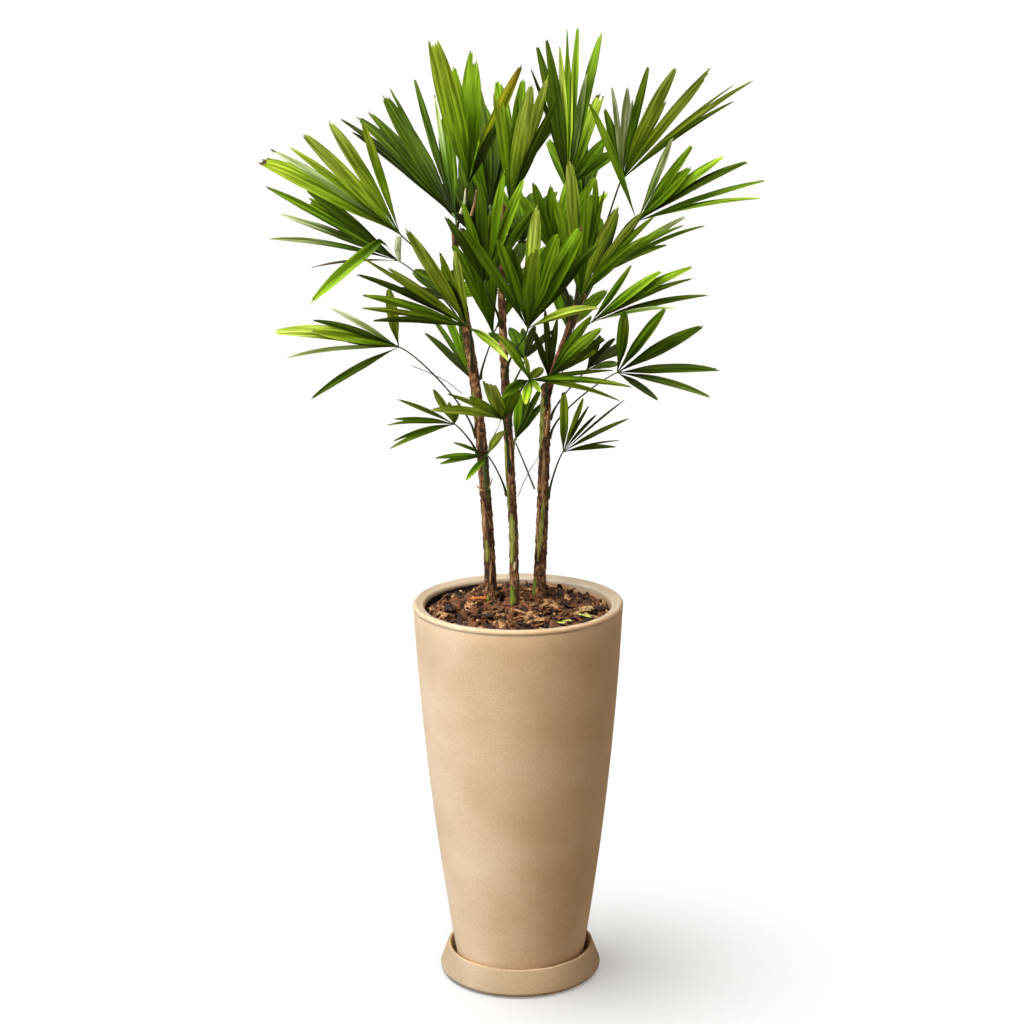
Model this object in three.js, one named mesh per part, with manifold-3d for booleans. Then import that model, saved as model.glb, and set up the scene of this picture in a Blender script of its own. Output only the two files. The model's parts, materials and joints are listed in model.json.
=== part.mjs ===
// A lady palm (Rhapis) of three canes in a tall tapered planter on its saucer.
// Millimetres, +Z up, +X right, +Y to the back. The origin is the middle of the saucer's underside.
import * as THREE from "three";
import { mergeVertices } from "three/addons/utils/BufferGeometryUtils.js";
import Module from "manifold-3d";

// Driving dimensions
const gap = 0.3; // between pieces that rest on each other
const saucer = { foot: 131, belly: 134, top: 122, bore: 116, height: 45, floor: 11, round: 8 };
const pot = {
  foot: 104, // radius where it stands in the saucer
  rim: 171, // radius under the lip
  height: 640,
  wall: 12,
  floor: 24,
  lip: 5.5, // radius of the lip's round edge
  brim: 19, // how broad the lip is on top
  brimDrop: 9, // how far its inner edge lies below its top
  bulge: 9.3, // how far the side bows out from a straight cone
  levels: [0.25, 0.55, 0.94], // parts of the height where the inside bends
};
const mulch = { wall: 614, shoulder: 622, shoulderWidth: 22, flat: 626, flatRadius: 110 };
const cane = { sides: 14, flare: 1.12 };
const petiole = { width: 4.6, depth: 3.2, steps: 5, rise: 0.24, reach: 0.14 };
const hub = { radius: 7 };
const leaflet = {
  thickness: 0.0115, // keel depth over length
  sag: 0.06, // how far a level leaflet's tip hangs, over length
  shorter: 0.2, // how much the outer leaflets of an even fan are shorter
  share: [0.72, 1.22], // least and most breadth of a leaflet beside the usual, where none is given
  waver: 6, // degrees that its lean varies
  twist: [16, 40], // least and most that each is turned about its own line, all of a fan the same way
  margin: 0.6, // kept free round a leaflet
};
// Where along a leaflet its sections lie, and how wide it is there.
const leafletOutline = [
  [0.012, 0.09],
  [0.4, 0.96],
  [0.76, 0.8],
  [1, 0.16],
];

// Each cane: the points its middle passes, foot first, with its radius there.
const canes = {
  left: [
    [-43, 27, 626, 9.4],
    [-47, 27, 735, 8.8],
    [-57, 27, 900, 8.3],
    [-67, 27, 1000, 7.9],
    [-81, 25, 1100, 6.6],
    [-98, 20, 1240, 3.8],
  ],
  middle: [
    [-6, 0, 626, 7.4],
    [-6, 0, 742, 7.1],
    [-13, 0, 905, 6.9],
    [-19, 0, 1020, 6.5],
    [-23, 4, 1130, 5.6],
    [-19, 8, 1280, 3.4],
  ],
  right: [
    [34, 42, 626, 9.6],
    [39, 42, 730, 8.9],
    [44, 42, 865, 8.1],
    [47, 42, 975, 7.3],
    [76, 42, 1053, 6],
    [124, 40, 1195, 3.6],
  ],
};

// An even fan: leaflets from one sweep to another, the outer ones shorter.
function even(from, to, count, length) {
  return Array.from({ length: count }, (_, i) => {
    const place = i / (count - 1);
    return [from + (to - from) * place, length * (1 - leaflet.shorter * (2 * place - 1) ** 2)];
  });
}

// Each frond: height of its base on the cane, its hub x y z, how far its first, middle and last leaflets
// lean to the front (degrees, minus to the back), how broad a leaflet usually is, and its leaflets: sweep
// (degrees in the XZ plane, from +X up), length, and breadth beside the usual.
const fronds = {
  left: [
    [1120, -178, -60, 1244, 7, 20, 27, 24, [
      [149, 245, 1.3], [143, 245, 0.6], [137, 235, 0.5], [129, 237, 0.9], [118, 229, 0.82],
      [105, 207, 0.6],
    ]],
    [1085, -186, 24, 1192, -16, -28, -40, 20, [
      [142, 202, 1.2], [151, 265, 0.75], [148, 189, 1.4], [151, 216, 0.4], [160, 251, 0.6],
      [159, 216, 0.5], [172, 280, 0.5], [186, 192, 0.25],
    ]],
    [1165, -96, 50, 1257, -24, -30, -36, 23, [
      [141, 242, 0.5], [140, 271, 0.5], [135, 250, 0.9], [130, 243, 0.9], [121, 253, 1.35],
      [118, 273, 0.4], [107, 263, 0.6], [100, 238, 0.4], [96, 209, 1.2],
    ]],
    [1215, -72, -60, 1319, 20, 8, 17, 25, [
      [102, 245, 1.6], [96, 190, 0.8], [87, 208, 1.3], [66, 206, 0.75], [64, 122, 0.6],
    ]],
    [1000, -37, 24, 1073, 12, 16, 20, 21, even(112, 60, 6, 218)],
    [1015, -75, -60, 1099, 30, 30, 30, 19, [
      [167, 169, 0.55], [161, 194, 0.7], [154, 208, 0.75], [147, 224, 0.6], [139, 241, 0.6],
      [136, 190, 0.8], [117, 232, 1.1], [109, 102, 0.8], [107, 157, 0.7], [97, 161, 0.9],
    ]],
    [905, -184, -40, 1065, 30, 30, 30, 20, [
      [203, 171, 0.6], [176, 194, 0.35], [164, 218, 1.15], [165, 90, 0.6], [160, 159, 1],
      [153, 167, 0.6], [142, 145, 0.5], [96, 129, 1],
    ]],
    [875, -99, -10, 935, 40, 40, 40, 14, [
      [188, 131, 0.75], [182, 122, 0.65], [166, 142, 0.85], [161, 126, 0.8], [143, 140, 1],
      [112, 110, 1], [99, 61, 0.8], [80, 55, 0.8],
    ]],
    [950, -69, 80, 985, -50, -50, -50, 12, even(140, 104, 4, 200)],
    [1145, -70, 150, 1216, -38, -58, -64, 25, even(130, 56, 6, 215)],
    [1050, -105, 170, 1105, -46, -66, -70, 20, even(170, 90, 5, 165)],
  ],
  middle: [
    [1150, -40, 60, 1267, -14, -20, -14, 22, even(118, 60, 6, 205)],
    [1215, -9, -60, 1284, 14, 14, 14, 22, [
      [97, 199, 0.7], [93, 170, 0.8], [86, 177, 0.7], [80, 203, 1.3], [74, 218, 0.9], [67, 187, 0.7],
    ]],
    [1000, 17, -175, 1115, 16, 22, 16, 24, [
      [121, 201, 1], [107, 165, 0.9], [102, 146, 1], [86, 219, 0.95], [74, 176, 1.2], [64, 196, 1.3],
      [53, 186, 0.9],
    ]],
    [815, -48, -12, 884, 46, 46, 46, 12, [
      [141, 100, 0.5], [165, 119, 0.75], [173, 107, 0.7], [219, 64, 1],
    ]],
    [860, -22, -60, 952, 44, 44, 44, 17, [
      [157, 163, 0.9], [141, 150, 0.7], [132, 110, 0.8], [104, 120, 1.6], [72, 104, 1.5],
    ]],
    [920, 19, -130, 1028, 40, 40, 40, 17, [
      [118, 135, 0.8], [98, 59, 0.5], [53, 41, 1], [18, 166, 0.7], [9, 203, 0.8], [-2, 170, 0.95],
    ]],
    [790, -3, 110, 882, -50, -50, -50, 14, even(85, 45, 4, 150)],
    [1190, -6, 118, 1300, -22, -34, -22, 23, even(126, 54, 6, 208)],
    [1115, 10, 205, 1192, -48, -70, -48, 25, even(140, 30, 6, 240)],
    [1050, -24, 205, 1112, -52, -76, -52, 24, even(186, 26, 6, 250)],
    [1090, -48, -62, 1166, 12, 12, 12, 20, [
      [118, 128, 0.9], [104, 143, 1], [92, 168, 1], [80, 189, 1], [70, 184, 1], [58, 153, 0.9],
    ]],
    [955, 14, 150, 1010, -60, -78, -60, 18, even(150, 35, 5, 165)],
  ],
  right: [
    [1120, 82, 30, 1305, -10, -10, -40, 20, [
      [107, 197, 0.5], [102, 227, 0.8], [98, 235, 0.8], [93, 222, 0.7], [90, 250, 0.35], [90, 219, 1],
      [86, 257, 0.75], [80, 188, 0.7], [77, 262, 0.9], [69, 176, 1.3], [49, 124, 0.9], [33, 131, 1.2],
    ]],
    [1150, 163, -30, 1321, 28, 22, 12, 19, [
      [104, 139, 0.9], [97, 171, 0.55], [88, 166, 0.8], [84, 146, 0.5], [79, 206, 0.85], [67, 217, 1.2],
      [63, 155, 0.7], [54, 238, 1.1], [43, 242, 0.45], [40, 264, 0.55], [38, 220, 0.5],
    ]],
    [1105, 185, -80, 1263, 30, 30, 30, 17, [
      [71, 167, 0.7], [59, 170, 0.9], [51, 142, 1.2], [43, 195, 0.85], [35, 224, 0.75], [24, 226, 0.55],
      [17, 210, 0.45],
    ]],
    [1080, 120, 88, 1149, -40, -40, -40, 15, [
      [32, 189, 0.5], [30, 246, 1], [29, 259, 0.4], [27, 230, 0.6], [22, 274, 0.6], [21, 188, 0.7],
    ]],
    [1020, 117, -40, 1102, 30, 30, 30, 17, [
      [60, 133, 0.65], [43, 164, 1], [36, 213, 0.78], [33, 172, 0.4], [31, 205, 0.55], [21, 213, 0.6],
      [18, 159, 0.4],
    ]],
    [1045, 97, -110, 1151, 20, 20, 20, 22, [
      [104, 190, 0.8], [95, 243, 1.1], [85, 211, 1.3], [79, 195, 0.5], [70, 171, 1.1], [57, 185, 0.8],
      [51, 183, 0.6], [47, 155, 0.8],
    ]],
    [955, 50, -20, 1010, 38, 46, 46, 18, [
      [105, 124, 0.7], [93, 185, 0.6], [84, 160, 0.7], [63, 195, 0.9], [54, 198, 1.1], [48, 184, 0.9],
      [42, 141, 0.8],
    ]],
    [930, 113, 60, 1008, -66, -66, -66, 18, [
      [58, 122, 0.9], [34, 153, 0.9], [18, 174, 1.2], [6, 183, 0.9], [-8, 153, 0.8],
    ]],
    [900, 158, -30, 1020, 36, 36, 36, 19, [
      [86, 143, 1.1], [61, 175, 0.88], [38, 193, 1.05], [12, 188, 0.75], [-5, 169, 0.58],
      [-26, 87, 0.58],
    ]],
    [800, 74, 20, 882, 38, 38, 38, 13, [
      [91, 157, 1.25], [75, 148, 0.85], [68, 131, 0.6], [57, 118, 0.5], [50, 181, 0.4], [40, 173, 0.8],
      [25, 123, 0.45], [18, 108, 0.75],
    ]],
    [1130, 110, 150, 1250, -40, -58, -40, 22, even(116, 72, 4, 215)],
    [1065, 132, 190, 1140, -44, -64, -42, 22, even(108, 50, 5, 215)],
    [1092, 58, -32, 1204, 10, 14, 18, 20, [
      [118, 122, 0.9], [104, 128, 1], [92, 122, 1], [78, 153, 1], [64, 153, 0.9], [52, 143, 0.9],
    ]],
    [985, 86, 180, 1052, -52, -72, -50, 20, even(112, 40, 5, 175)],
  ],
};

// Leaflets that stand apart from their fan: cane, frond number, sweep, lean, length, breadth.
const strays = [
  ["left", 2, 202, 14, 155, 20],
  ["left", 6, -30, 44, 100, 14],
  ["middle", 3, 23, 26, 126, 16],
  ["middle", 3, 86, 40, 186, 25],
  ["middle", 4, 65, 50, 105, 15],
  ["middle", 6, -24, 66, 46, 13],
  ["middle", 6, -105, 66, 61, 14],
  ["middle", 6, 184, 66, 100, 15],
  ["right", 3, 112, 20, 219, 12],
];

const colours = {
  saucer: 0xc9ab82,
  pot: 0xcdb08a,
  mulch: 0x6b4226,
  cane: 0x6f4a2c,
  frond: 0x4d7a12,
};
const turn = 2 * Math.PI;
const up = new THREE.Vector3(0, 0, 1);

const wasm = await Module();
wasm.setup();

// A closed solid through rings of points that run anticlockwise about the way from first ring to last.
function loft(rings) {
  const count = rings[0].length;
  const index = [];
  for (let ring = 0; ring < rings.length - 1; ring++) {
    for (let i = 0; i < count; i++) {
      const next = (i + 1) % count;
      const here = ring * count;
      const there = here + count;
      index.push(here + i, here + next, there + i);
      index.push(here + next, there + next, there + i);
    }
  }
  const last = (rings.length - 1) * count;
  for (let i = 1; i < count - 1; i++) {
    index.push(0, i + 1, i);
    index.push(last, last + i, last + i + 1);
  }
  return new THREE.BufferGeometry().setFromPoints(rings.flat()).setIndex(index);
}

function toSolid(geometry) {
  const plain = geometry.clone();
  plain.deleteAttribute("normal");
  plain.deleteAttribute("uv");
  const merged = mergeVertices(plain, 1e-3);
  const vertProperties = merged.attributes.position.array;
  const triVerts = new Uint32Array(merged.index.array);
  return new wasm.Manifold(new wasm.Mesh({ numProp: 3, vertProperties, triVerts }));
}

function toGeometry(solid) {
  const { vertProperties, triVerts } = solid.getMesh();
  return new THREE.BufferGeometry()
    .setAttribute("position", new THREE.BufferAttribute(vertProperties, 3))
    .setIndex([...triVerts]);
}

// The same numbers every time, from a small congruential rule.
function chanceFrom(seed) {
  let state = (seed * 7919 + 101) % 53125;
  return () => {
    state = (state * 171 + 11213) % 53125;
    return state / 53125;
  };
}

function turned(profile, sides) {
  const points = profile.map(([radius, height]) => new THREE.Vector2(radius, height));
  return new THREE.LatheGeometry(points, sides).rotateX(Math.PI / 2);
}

// Points of an arc in a profile, degrees from outwards to upwards.
function arc(radius, height, size, from, to, steps) {
  return Array.from({ length: steps + 1 }, (_, i) => {
    const angle = THREE.MathUtils.degToRad(from + ((to - from) * i) / steps);
    return [radius + size * Math.cos(angle), height + size * Math.sin(angle)];
  });
}

function potRadius(height) {
  const along = (height - saucer.floor) / (pot.height - saucer.floor);
  return pot.foot + (pot.rim - pot.foot) * along + pot.bulge * 4 * along * (1 - along);
}

function saucerGeometry() {
  const { foot, belly, top, bore, height, floor, round } = saucer;
  const lip = (top - bore) / 2;
  return turned(
    [
      [0, 0],
      [foot - round, 0],
      ...arc(belly - round, round, round, -60, 0, 2),
      ...arc(bore + lip, height - lip, lip, 0, 180, 4),
      [bore - 2, floor],
      [0, floor],
    ],
    36,
  );
}

function potGeometry() {
  const { height, wall, floor, lip, rim, brim, brimDrop } = pot;
  const base = saucer.floor + gap;
  const outer = [0, 0.12, 0.27, 0.45, 0.65, 0.83].map((part) => base + (height - 2 * lip - base) * part);
  const inner = pot.levels.map((part) => base + (height - base) * part).reverse();
  return turned(
    [
      [0, base],
      ...outer.map((level) => [potRadius(level), level]),
      ...arc(rim - lip, height - lip, lip, 0, 90, 3),
      ...arc(rim - brim + lip, height - brimDrop, lip, 70, 180, 3),
      ...inner.map((level) => [potRadius(level) - wall, level]),
      [potRadius(base + floor) - wall, base + floor],
      [0, base + floor],
    ],
    36,
  );
}

// The soil that fills the pot, mounded with bark mulch, flat on top where the canes stand.
function mulchGeometry() {
  const base = saucer.floor + gap;
  const inner = (level) => potRadius(level) - pot.wall - gap;
  const levels = pot.levels.map((part) => base + (pot.height - base) * part);
  const floor = base + pot.floor + gap;
  const slack = 0.6; // the plug is cut from straight facets, as the wall is
  return turned(
    [
      [0, floor],
      [inner(floor) - slack, floor],
      ...levels.map((level) => [inner(level) - slack, level]),
      [inner(mulch.wall) - slack - 6, mulch.wall],
      [inner(mulch.wall) - mulch.shoulderWidth, mulch.shoulder],
      [mulch.flatRadius, mulch.flat],
      [0, mulch.flat],
    ],
    36,
  );
}

// The middle, radius and run of a cane at a height.
function caneAt(points, height) {
  const end = points.findIndex((point, i) => i > 0 && (point[2] >= height || i === points.length - 1));
  const [below, above] = [points[end - 1], points[end]];
  const along = (height - below[2]) / (above[2] - below[2]);
  const mix = (k) => below[k] + (above[k] - below[k]) * along;
  const run = new THREE.Vector3(above[0] - below[0], above[1] - below[1], above[2] - below[2]).normalize();
  return { middle: new THREE.Vector3(mix(0), mix(1), height), radius: mix(3), run };
}

function caneGeometry(points) {
  const ring = (x, y, z, radius) =>
    Array.from({ length: cane.sides }, (_, i) => {
      const angle = (turn * i) / cane.sides;
      return new THREE.Vector3(x + radius * Math.cos(angle), y + radius * Math.sin(angle), z);
    });
  const [x, y, z, radius] = points[0];
  const foot = caneAt(points, z + 22);
  return loft([
    ring(x, y, z + gap, radius * cane.flare),
    ring(foot.middle.x, foot.middle.y, z + 22, foot.radius),
    ...points.slice(1).map((point) => ring(...point)),
  ]);
}

// A four-sided stalk from the side of its cane to its hub.
function petioleGeometry(seat, centre, aim) {
  const out = new THREE.Vector3(centre.x - seat.middle.x, centre.y - seat.middle.y, 0).normalize();
  const start = seat.middle.clone().addScaledVector(out, seat.radius + gap + petiole.depth / 2);
  const span = start.distanceTo(centre);
  const path = new THREE.CubicBezierCurve3(
    start,
    start.clone().addScaledVector(seat.run, span * petiole.rise),
    centre.clone().addScaledVector(aim, -span * petiole.reach),
    centre,
  );
  const level = new THREE.Vector3(-out.y, out.x, 0);
  const rings = [];
  for (let step = 0; step <= petiole.steps; step++) {
    const along = step / petiole.steps;
    const middle = path.getPoint(along);
    const way = path.getTangent(along);
    const side = level.clone().addScaledVector(way, -way.dot(level)).normalize();
    const face = way.clone().cross(side);
    const taper = 1 - 0.35 * along;
    const corner = (a, b) =>
      middle
        .clone()
        .addScaledVector(side, (a * petiole.width * taper) / 2)
        .addScaledVector(face, (b * petiole.depth * taper) / 2);
    rings.push([corner(1, 1), corner(-1, 1), corner(-1, -1), corner(1, -1)]);
  }
  return loft(rings);
}

function direction(sweep, lean) {
  const [a, b] = [sweep, lean].map(THREE.MathUtils.degToRad);
  return new THREE.Vector3(Math.cos(b) * Math.cos(a), -Math.sin(b), Math.cos(b) * Math.sin(a));
}

// The value at a place between 0 and 1 of the curve through first, middle and last.
function through(first, middle, last, place) {
  const rest = 1 - place;
  return first * rest * (rest - place) + 4 * middle * place * rest + last * place * (place - rest);
}

// The leaflets of one fan, each with its sweep, lean, length, width and twist.
function fanOf(row, number) {
  const [, , , , leanFrom, leanMiddle, leanTo, broad, leaflets] = row;
  const chance = chanceFrom(number);
  const between = ([least, most]) => least + (most - least) * chance();
  const handed = number % 2 ? 1 : -1;
  const turning = Math.sign(leaflets.at(-1)[0] - leaflets[0][0]);
  return leaflets.map(([sweep, long, given], i) => {
    const place = i / (leaflets.length - 1);
    const lean = through(leanFrom, leanMiddle, leanTo, place) + (chance() - 0.5) * leaflet.waver;
    const share = between(leaflet.share);
    const twist = handed * between(leaflet.twist);
    return { sweep, lean, long, wide: broad * (given ?? share), twist, turning };
  });
}

// A blade with a flat face and a keel under it, from near the hub to its blunt tip.
function bladeGeometry(centre, leaf, margin) {
  const way = direction(leaf.sweep, leaf.lean);
  const beside = direction(leaf.sweep + leaf.turning, leaf.lean);
  const flatFace = way.clone().cross(beside).normalize();
  if (flatFace.z < 0) flatFace.negate();
  const flatSide = flatFace.clone().cross(way);
  const twist = THREE.MathUtils.degToRad(leaf.twist);
  const side = flatSide.clone().multiplyScalar(Math.cos(twist)).addScaledVector(flatFace, Math.sin(twist));
  const face = flatFace.clone().multiplyScalar(Math.cos(twist)).addScaledVector(flatSide, -Math.sin(twist));
  const drop = leaflet.sag * (1 - 0.7 * Math.abs(way.z));
  const keel = Math.max(3, leaf.long * leaflet.thickness);
  return loft(
    leafletOutline.map(([along, share]) => {
      const middle = centre.clone().addScaledVector(way, leaf.long * along);
      middle.addScaledVector(up, -leaf.long * drop * along * along);
      const half = (leaf.wide * share) / 2 + margin;
      return [
        middle.clone().addScaledVector(side, half).addScaledVector(face, margin),
        middle.clone().addScaledVector(side, -half).addScaledVector(face, margin),
        middle.clone().addScaledVector(face, -keel - margin),
      ];
    }),
  );
}

const boxesMeet = (a, b) => [0, 1, 2].every((k) => a.min[k] <= b.max[k] && b.min[k] <= a.max[k]);

// Whether a solid meets any of the others.
function meets(solid, others) {
  const box = solid.boundingBox();
  return others.some((other) => boxesMeet(box, other.box) && !solid.intersect(other.solid).isEmpty());
}

// A leaflet that would touch something leans aside, or is shorter, or is left out.
function placed(centre, leaf, others) {
  for (const share of [1, 0.82, 0.64]) {
    for (const aside of [0, 7, -7, 14, -14, 21, -21]) {
      const tried = { ...leaf, long: leaf.long * share, lean: leaf.lean + aside };
      if (!meets(toSolid(bladeGeometry(centre, tried, leaflet.margin)), others)) {
        return bladeGeometry(centre, tried, 0);
      }
    }
  }
  return null;
}

const withBox = (solid, owner) => ({ solid, owner, box: solid.boundingBox() });

function material(colour, roughness) {
  return new THREE.MeshStandardMaterial({ color: colour, roughness, metalness: 0 });
}

const palm = new THREE.Group();

function add(name, geometry, colour, roughness) {
  const mesh = new THREE.Mesh(geometry, material(colour, roughness));
  mesh.name = name;
  palm.add(mesh);
}

add("saucer", saucerGeometry(), colours.saucer, 0.85);
add("pot", potGeometry(), colours.pot, 0.85);
add("mulch", mulchGeometry(), colours.mulch, 0.95);

const taken = [];
for (const [name, points] of Object.entries(canes)) {
  const geometry = caneGeometry(points);
  add(`cane_${name}`, geometry, colours.cane, 0.9);
  taken.push(withBox(toSolid(geometry), `cane_${name}`));
}

const plan = Object.entries(fronds).flatMap(([caneName, rows]) =>
  rows.map((row, i) => ({ name: `frond_${caneName}_${i + 1}`, caneName, row, order: i + 1 })),
);
plan.forEach((frond, number) => {
  const [seatHeight, x, y, z] = frond.row;
  frond.centre = new THREE.Vector3(x, y, z);
  frond.leaves = fanOf(frond.row, number + 1);
  for (const [caneName, order, sweep, lean, long, wide] of strays) {
    if (caneName === frond.caneName && order === frond.order) {
      frond.leaves.push({ sweep, lean, long, wide, twist: 12, turning: -1 });
    }
  }
  const aim = new THREE.Vector3();
  for (const leaf of frond.leaves) aim.add(direction(leaf.sweep, leaf.lean));
  const stalk = petioleGeometry(caneAt(canes[frond.caneName], seatHeight), frond.centre, aim.normalize());
  frond.stalk = toSolid(stalk);
  taken.push(withBox(frond.stalk, frond.name));
});

for (const frond of plan) {
  const others = taken.filter((other) => other.owner !== frond.name);
  const knob = new THREE.OctahedronGeometry(hub.radius).translate(...frond.centre);
  const blades = frond.leaves.map((leaf) => placed(frond.centre, leaf, others)).filter(Boolean);
  const solids = [frond.stalk, toSolid(knob), ...blades.map(toSolid)];
  const joined = wasm.Manifold.union(solids).simplify(0.02);
  const whole = joined.decompose().sort((a, b) => b.volume() - a.volume())[0];
  taken.push(withBox(whole, frond.name));
  add(frond.name, toGeometry(whole), colours.frond, 0.5);
}

export default palm;
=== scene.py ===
# A lady palm (Rhapis) of three canes in a tall stoneware planter on its saucer.
# Sizes are in millimetres until a mesh is made, and in metres in Blender.
import functools
import json
import math
import random

import bpy
import numpy as np
from mathutils import Matrix, Vector, noise
from mathutils.bvhtree import BVHTree

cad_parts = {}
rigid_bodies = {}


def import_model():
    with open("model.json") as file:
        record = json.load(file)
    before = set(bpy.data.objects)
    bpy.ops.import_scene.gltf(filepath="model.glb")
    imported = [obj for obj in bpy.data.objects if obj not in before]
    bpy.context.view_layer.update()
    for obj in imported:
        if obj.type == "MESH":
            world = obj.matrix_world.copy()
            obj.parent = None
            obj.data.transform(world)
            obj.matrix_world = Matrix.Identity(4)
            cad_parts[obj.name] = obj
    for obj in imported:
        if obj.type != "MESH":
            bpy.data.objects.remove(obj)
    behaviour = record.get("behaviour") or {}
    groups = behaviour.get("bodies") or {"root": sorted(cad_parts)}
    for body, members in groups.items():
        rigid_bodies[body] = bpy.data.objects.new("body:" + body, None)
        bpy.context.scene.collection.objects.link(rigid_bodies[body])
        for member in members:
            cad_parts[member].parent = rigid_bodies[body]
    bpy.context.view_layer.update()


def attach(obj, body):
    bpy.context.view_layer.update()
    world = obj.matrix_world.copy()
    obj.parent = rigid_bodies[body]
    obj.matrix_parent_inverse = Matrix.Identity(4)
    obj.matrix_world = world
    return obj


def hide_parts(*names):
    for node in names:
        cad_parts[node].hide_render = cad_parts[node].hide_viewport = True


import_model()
mm = 0.001


def fromHex(code):  # sRGB hex to a linear colour
    parts = [int(code[i : i + 2], 16) / 255 for i in (1, 3, 5)]
    return (*[p / 12.92 if p <= 0.04045 else ((p + 0.055) / 1.055) ** 2.4 for p in parts], 1)


def addNode(tree, kind, links=None, stops=None, **settings):
    node = tree.nodes.new(kind)
    for name, value in settings.items():
        setattr(node, name, value)
    for key, value in (links or {}).items():
        if isinstance(value, bpy.types.NodeSocket):
            tree.links.new(value, node.inputs[key])
        else:
            node.inputs[key].default_value = value
    if stops:
        ramp = node.color_ramp.elements
        while len(ramp) < len(stops):
            ramp.new(0.5)
        for element, (place, code) in zip(ramp, stops):
            element.position = place
            element.color = fromHex(code)
    return node


def newMaterial(name, surface):
    material = bpy.data.materials.new(name)
    material.use_nodes = True
    tree = material.node_tree
    tree.nodes.clear()
    shader = addNode(tree, "ShaderNodeBsdfPrincipled", surface)
    addNode(tree, "ShaderNodeOutputMaterial", {"Surface": shader.outputs["BSDF"]})
    return material, tree, shader


def scaleFor(size):  # noise scale whose features are about this many millimetres
    return 1 / (size * mm)


multiply = {"data_type": "RGBA", "blend_type": "MULTIPLY"}


def clouded(tree, size, detail, stops, upwards=1):
    # Soft noise with features of this size, drawn out upwards where the last value is below 1.
    place = addNode(tree, "ShaderNodeTexCoord").outputs["Object"]
    place = addNode(tree, "ShaderNodeMapping", {"Vector": place, "Scale": (1, 1, upwards)}).outputs[0]
    cloud = addNode(tree, "ShaderNodeTexNoise", {"Vector": place, "Scale": scaleFor(size), "Detail": detail})
    colour = addNode(tree, "ShaderNodeValToRGB", {"Fac": cloud.outputs["Fac"]}, stops=stops)
    return colour.outputs["Color"], cloud.outputs["Fac"]


def dress(tree, shader, colour, relief=None, strength=0, depth=0):
    # Gives the shader its colour, and a relief this many millimetres deep.
    tree.links.new(colour, shader.inputs["Base Color"])
    if relief:
        given = {"Height": relief, "Strength": strength, "Distance": depth * mm}
        tree.links.new(addNode(tree, "ShaderNodeBump", given).outputs["Normal"], shader.inputs["Normal"])


def makeMesh(name, points, faces, materials, faceMaterial=None, sharpFrom=60):
    mesh = bpy.data.meshes.new(name)
    mesh.from_pydata((np.asarray(points, float) * mm).tolist(), [], faces)
    for material in materials:
        mesh.materials.append(material)
    if faceMaterial is not None:
        mesh.polygons.foreach_set("material_index", faceMaterial)
    mesh.shade_smooth()
    mesh.set_sharp_from_angle(angle=math.radians(sharpFrom))
    return mesh


def onRing(radius, angle, z, x=0, y=0):
    return x + radius * math.cos(angle), y + radius * math.sin(angle), z


def tubeFaces(rings, sides):
    # Faces of a closed tube whose rings of points follow one another.
    faces = []
    for low in range(0, (rings - 1) * sides, sides):
        for i in range(sides):
            k = (i + 1) % sides
            faces.append((low + i, low + k, low + sides + k, low + sides + i))
    last = (rings - 1) * sides
    return faces + [tuple(reversed(range(sides))), tuple(range(last, last + sides))]


@functools.lru_cache(None)
def shellFaces(rows, columns):
    # Faces of a closed thin shell: a grid on top, and one below that shares its rim.
    def under(r, c):
        inside = 0 < r < rows - 1 and 0 < c < columns - 1
        return rows * columns + (r - 1) * (columns - 2) + c - 1 if inside else r * columns + c

    faces = []
    for r in range(rows - 1):
        for c in range(columns - 1):
            cell = [(r, c), (r + 1, c), (r + 1, c + 1), (r, c + 1)]
            pieces = [cell]
            if r in (0, rows - 2) and c in (0, columns - 2):  # cut from the shell's corner inwards
                first = cell.index((r + (r > 0), c + (c > 0)))
                cell = cell[first:] + cell[:first]
                pieces = [cell[:3], [cell[0], *cell[2:]]]
            for piece in pieces:
                faces.append(tuple(a * columns + b for a, b in piece))
                faces.append(tuple(under(a, b) for a, b in reversed(piece)))
    return faces


def shellRows(top, under):
    # What a shell's points have: the ones on top, then the ones below, without the rim that they share.
    return np.concatenate([grid.reshape(-1, *top.shape[2:]) for grid in (top, under[1:-1, 1:-1])])


def addObject(name, data):
    thing = bpy.data.objects.new(name, data)
    bpy.context.scene.collection.objects.link(thing)
    return thing


def addPiece(mesh, nodes=()):
    piece = addObject(mesh.name, mesh)
    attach(piece, "root")
    if nodes:
        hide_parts(*nodes)
    mesh.calc_loop_triangles()
    print(f"  {piece.name}: {len(mesh.loop_triangles)} triangles")


# The camera stands in front of the plant, a little above the crown's top, and looks down at it.
view = {"x": -8.8, "y": -3574, "z": 1666, "down": 13.8, "roll": -0.4, "lens": 80.33}


def addCamera():
    data = bpy.data.cameras.new("studioCamera")
    data.lens, data.sensor_width, data.clip_end = view["lens"], 36, 300
    camera = addObject("studioCamera", data)
    camera.location = Vector((view["x"], view["y"], view["z"])) * mm
    down = math.radians(view["down"])
    look = Vector((0, math.cos(down), -math.sin(down)))
    camera.rotation_euler = look.to_track_quat("-Z", "Y").to_euler()
    camera.rotation_euler.rotate_axis("Z", math.radians(view["roll"]))
    bpy.context.scene.camera = camera


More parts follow.
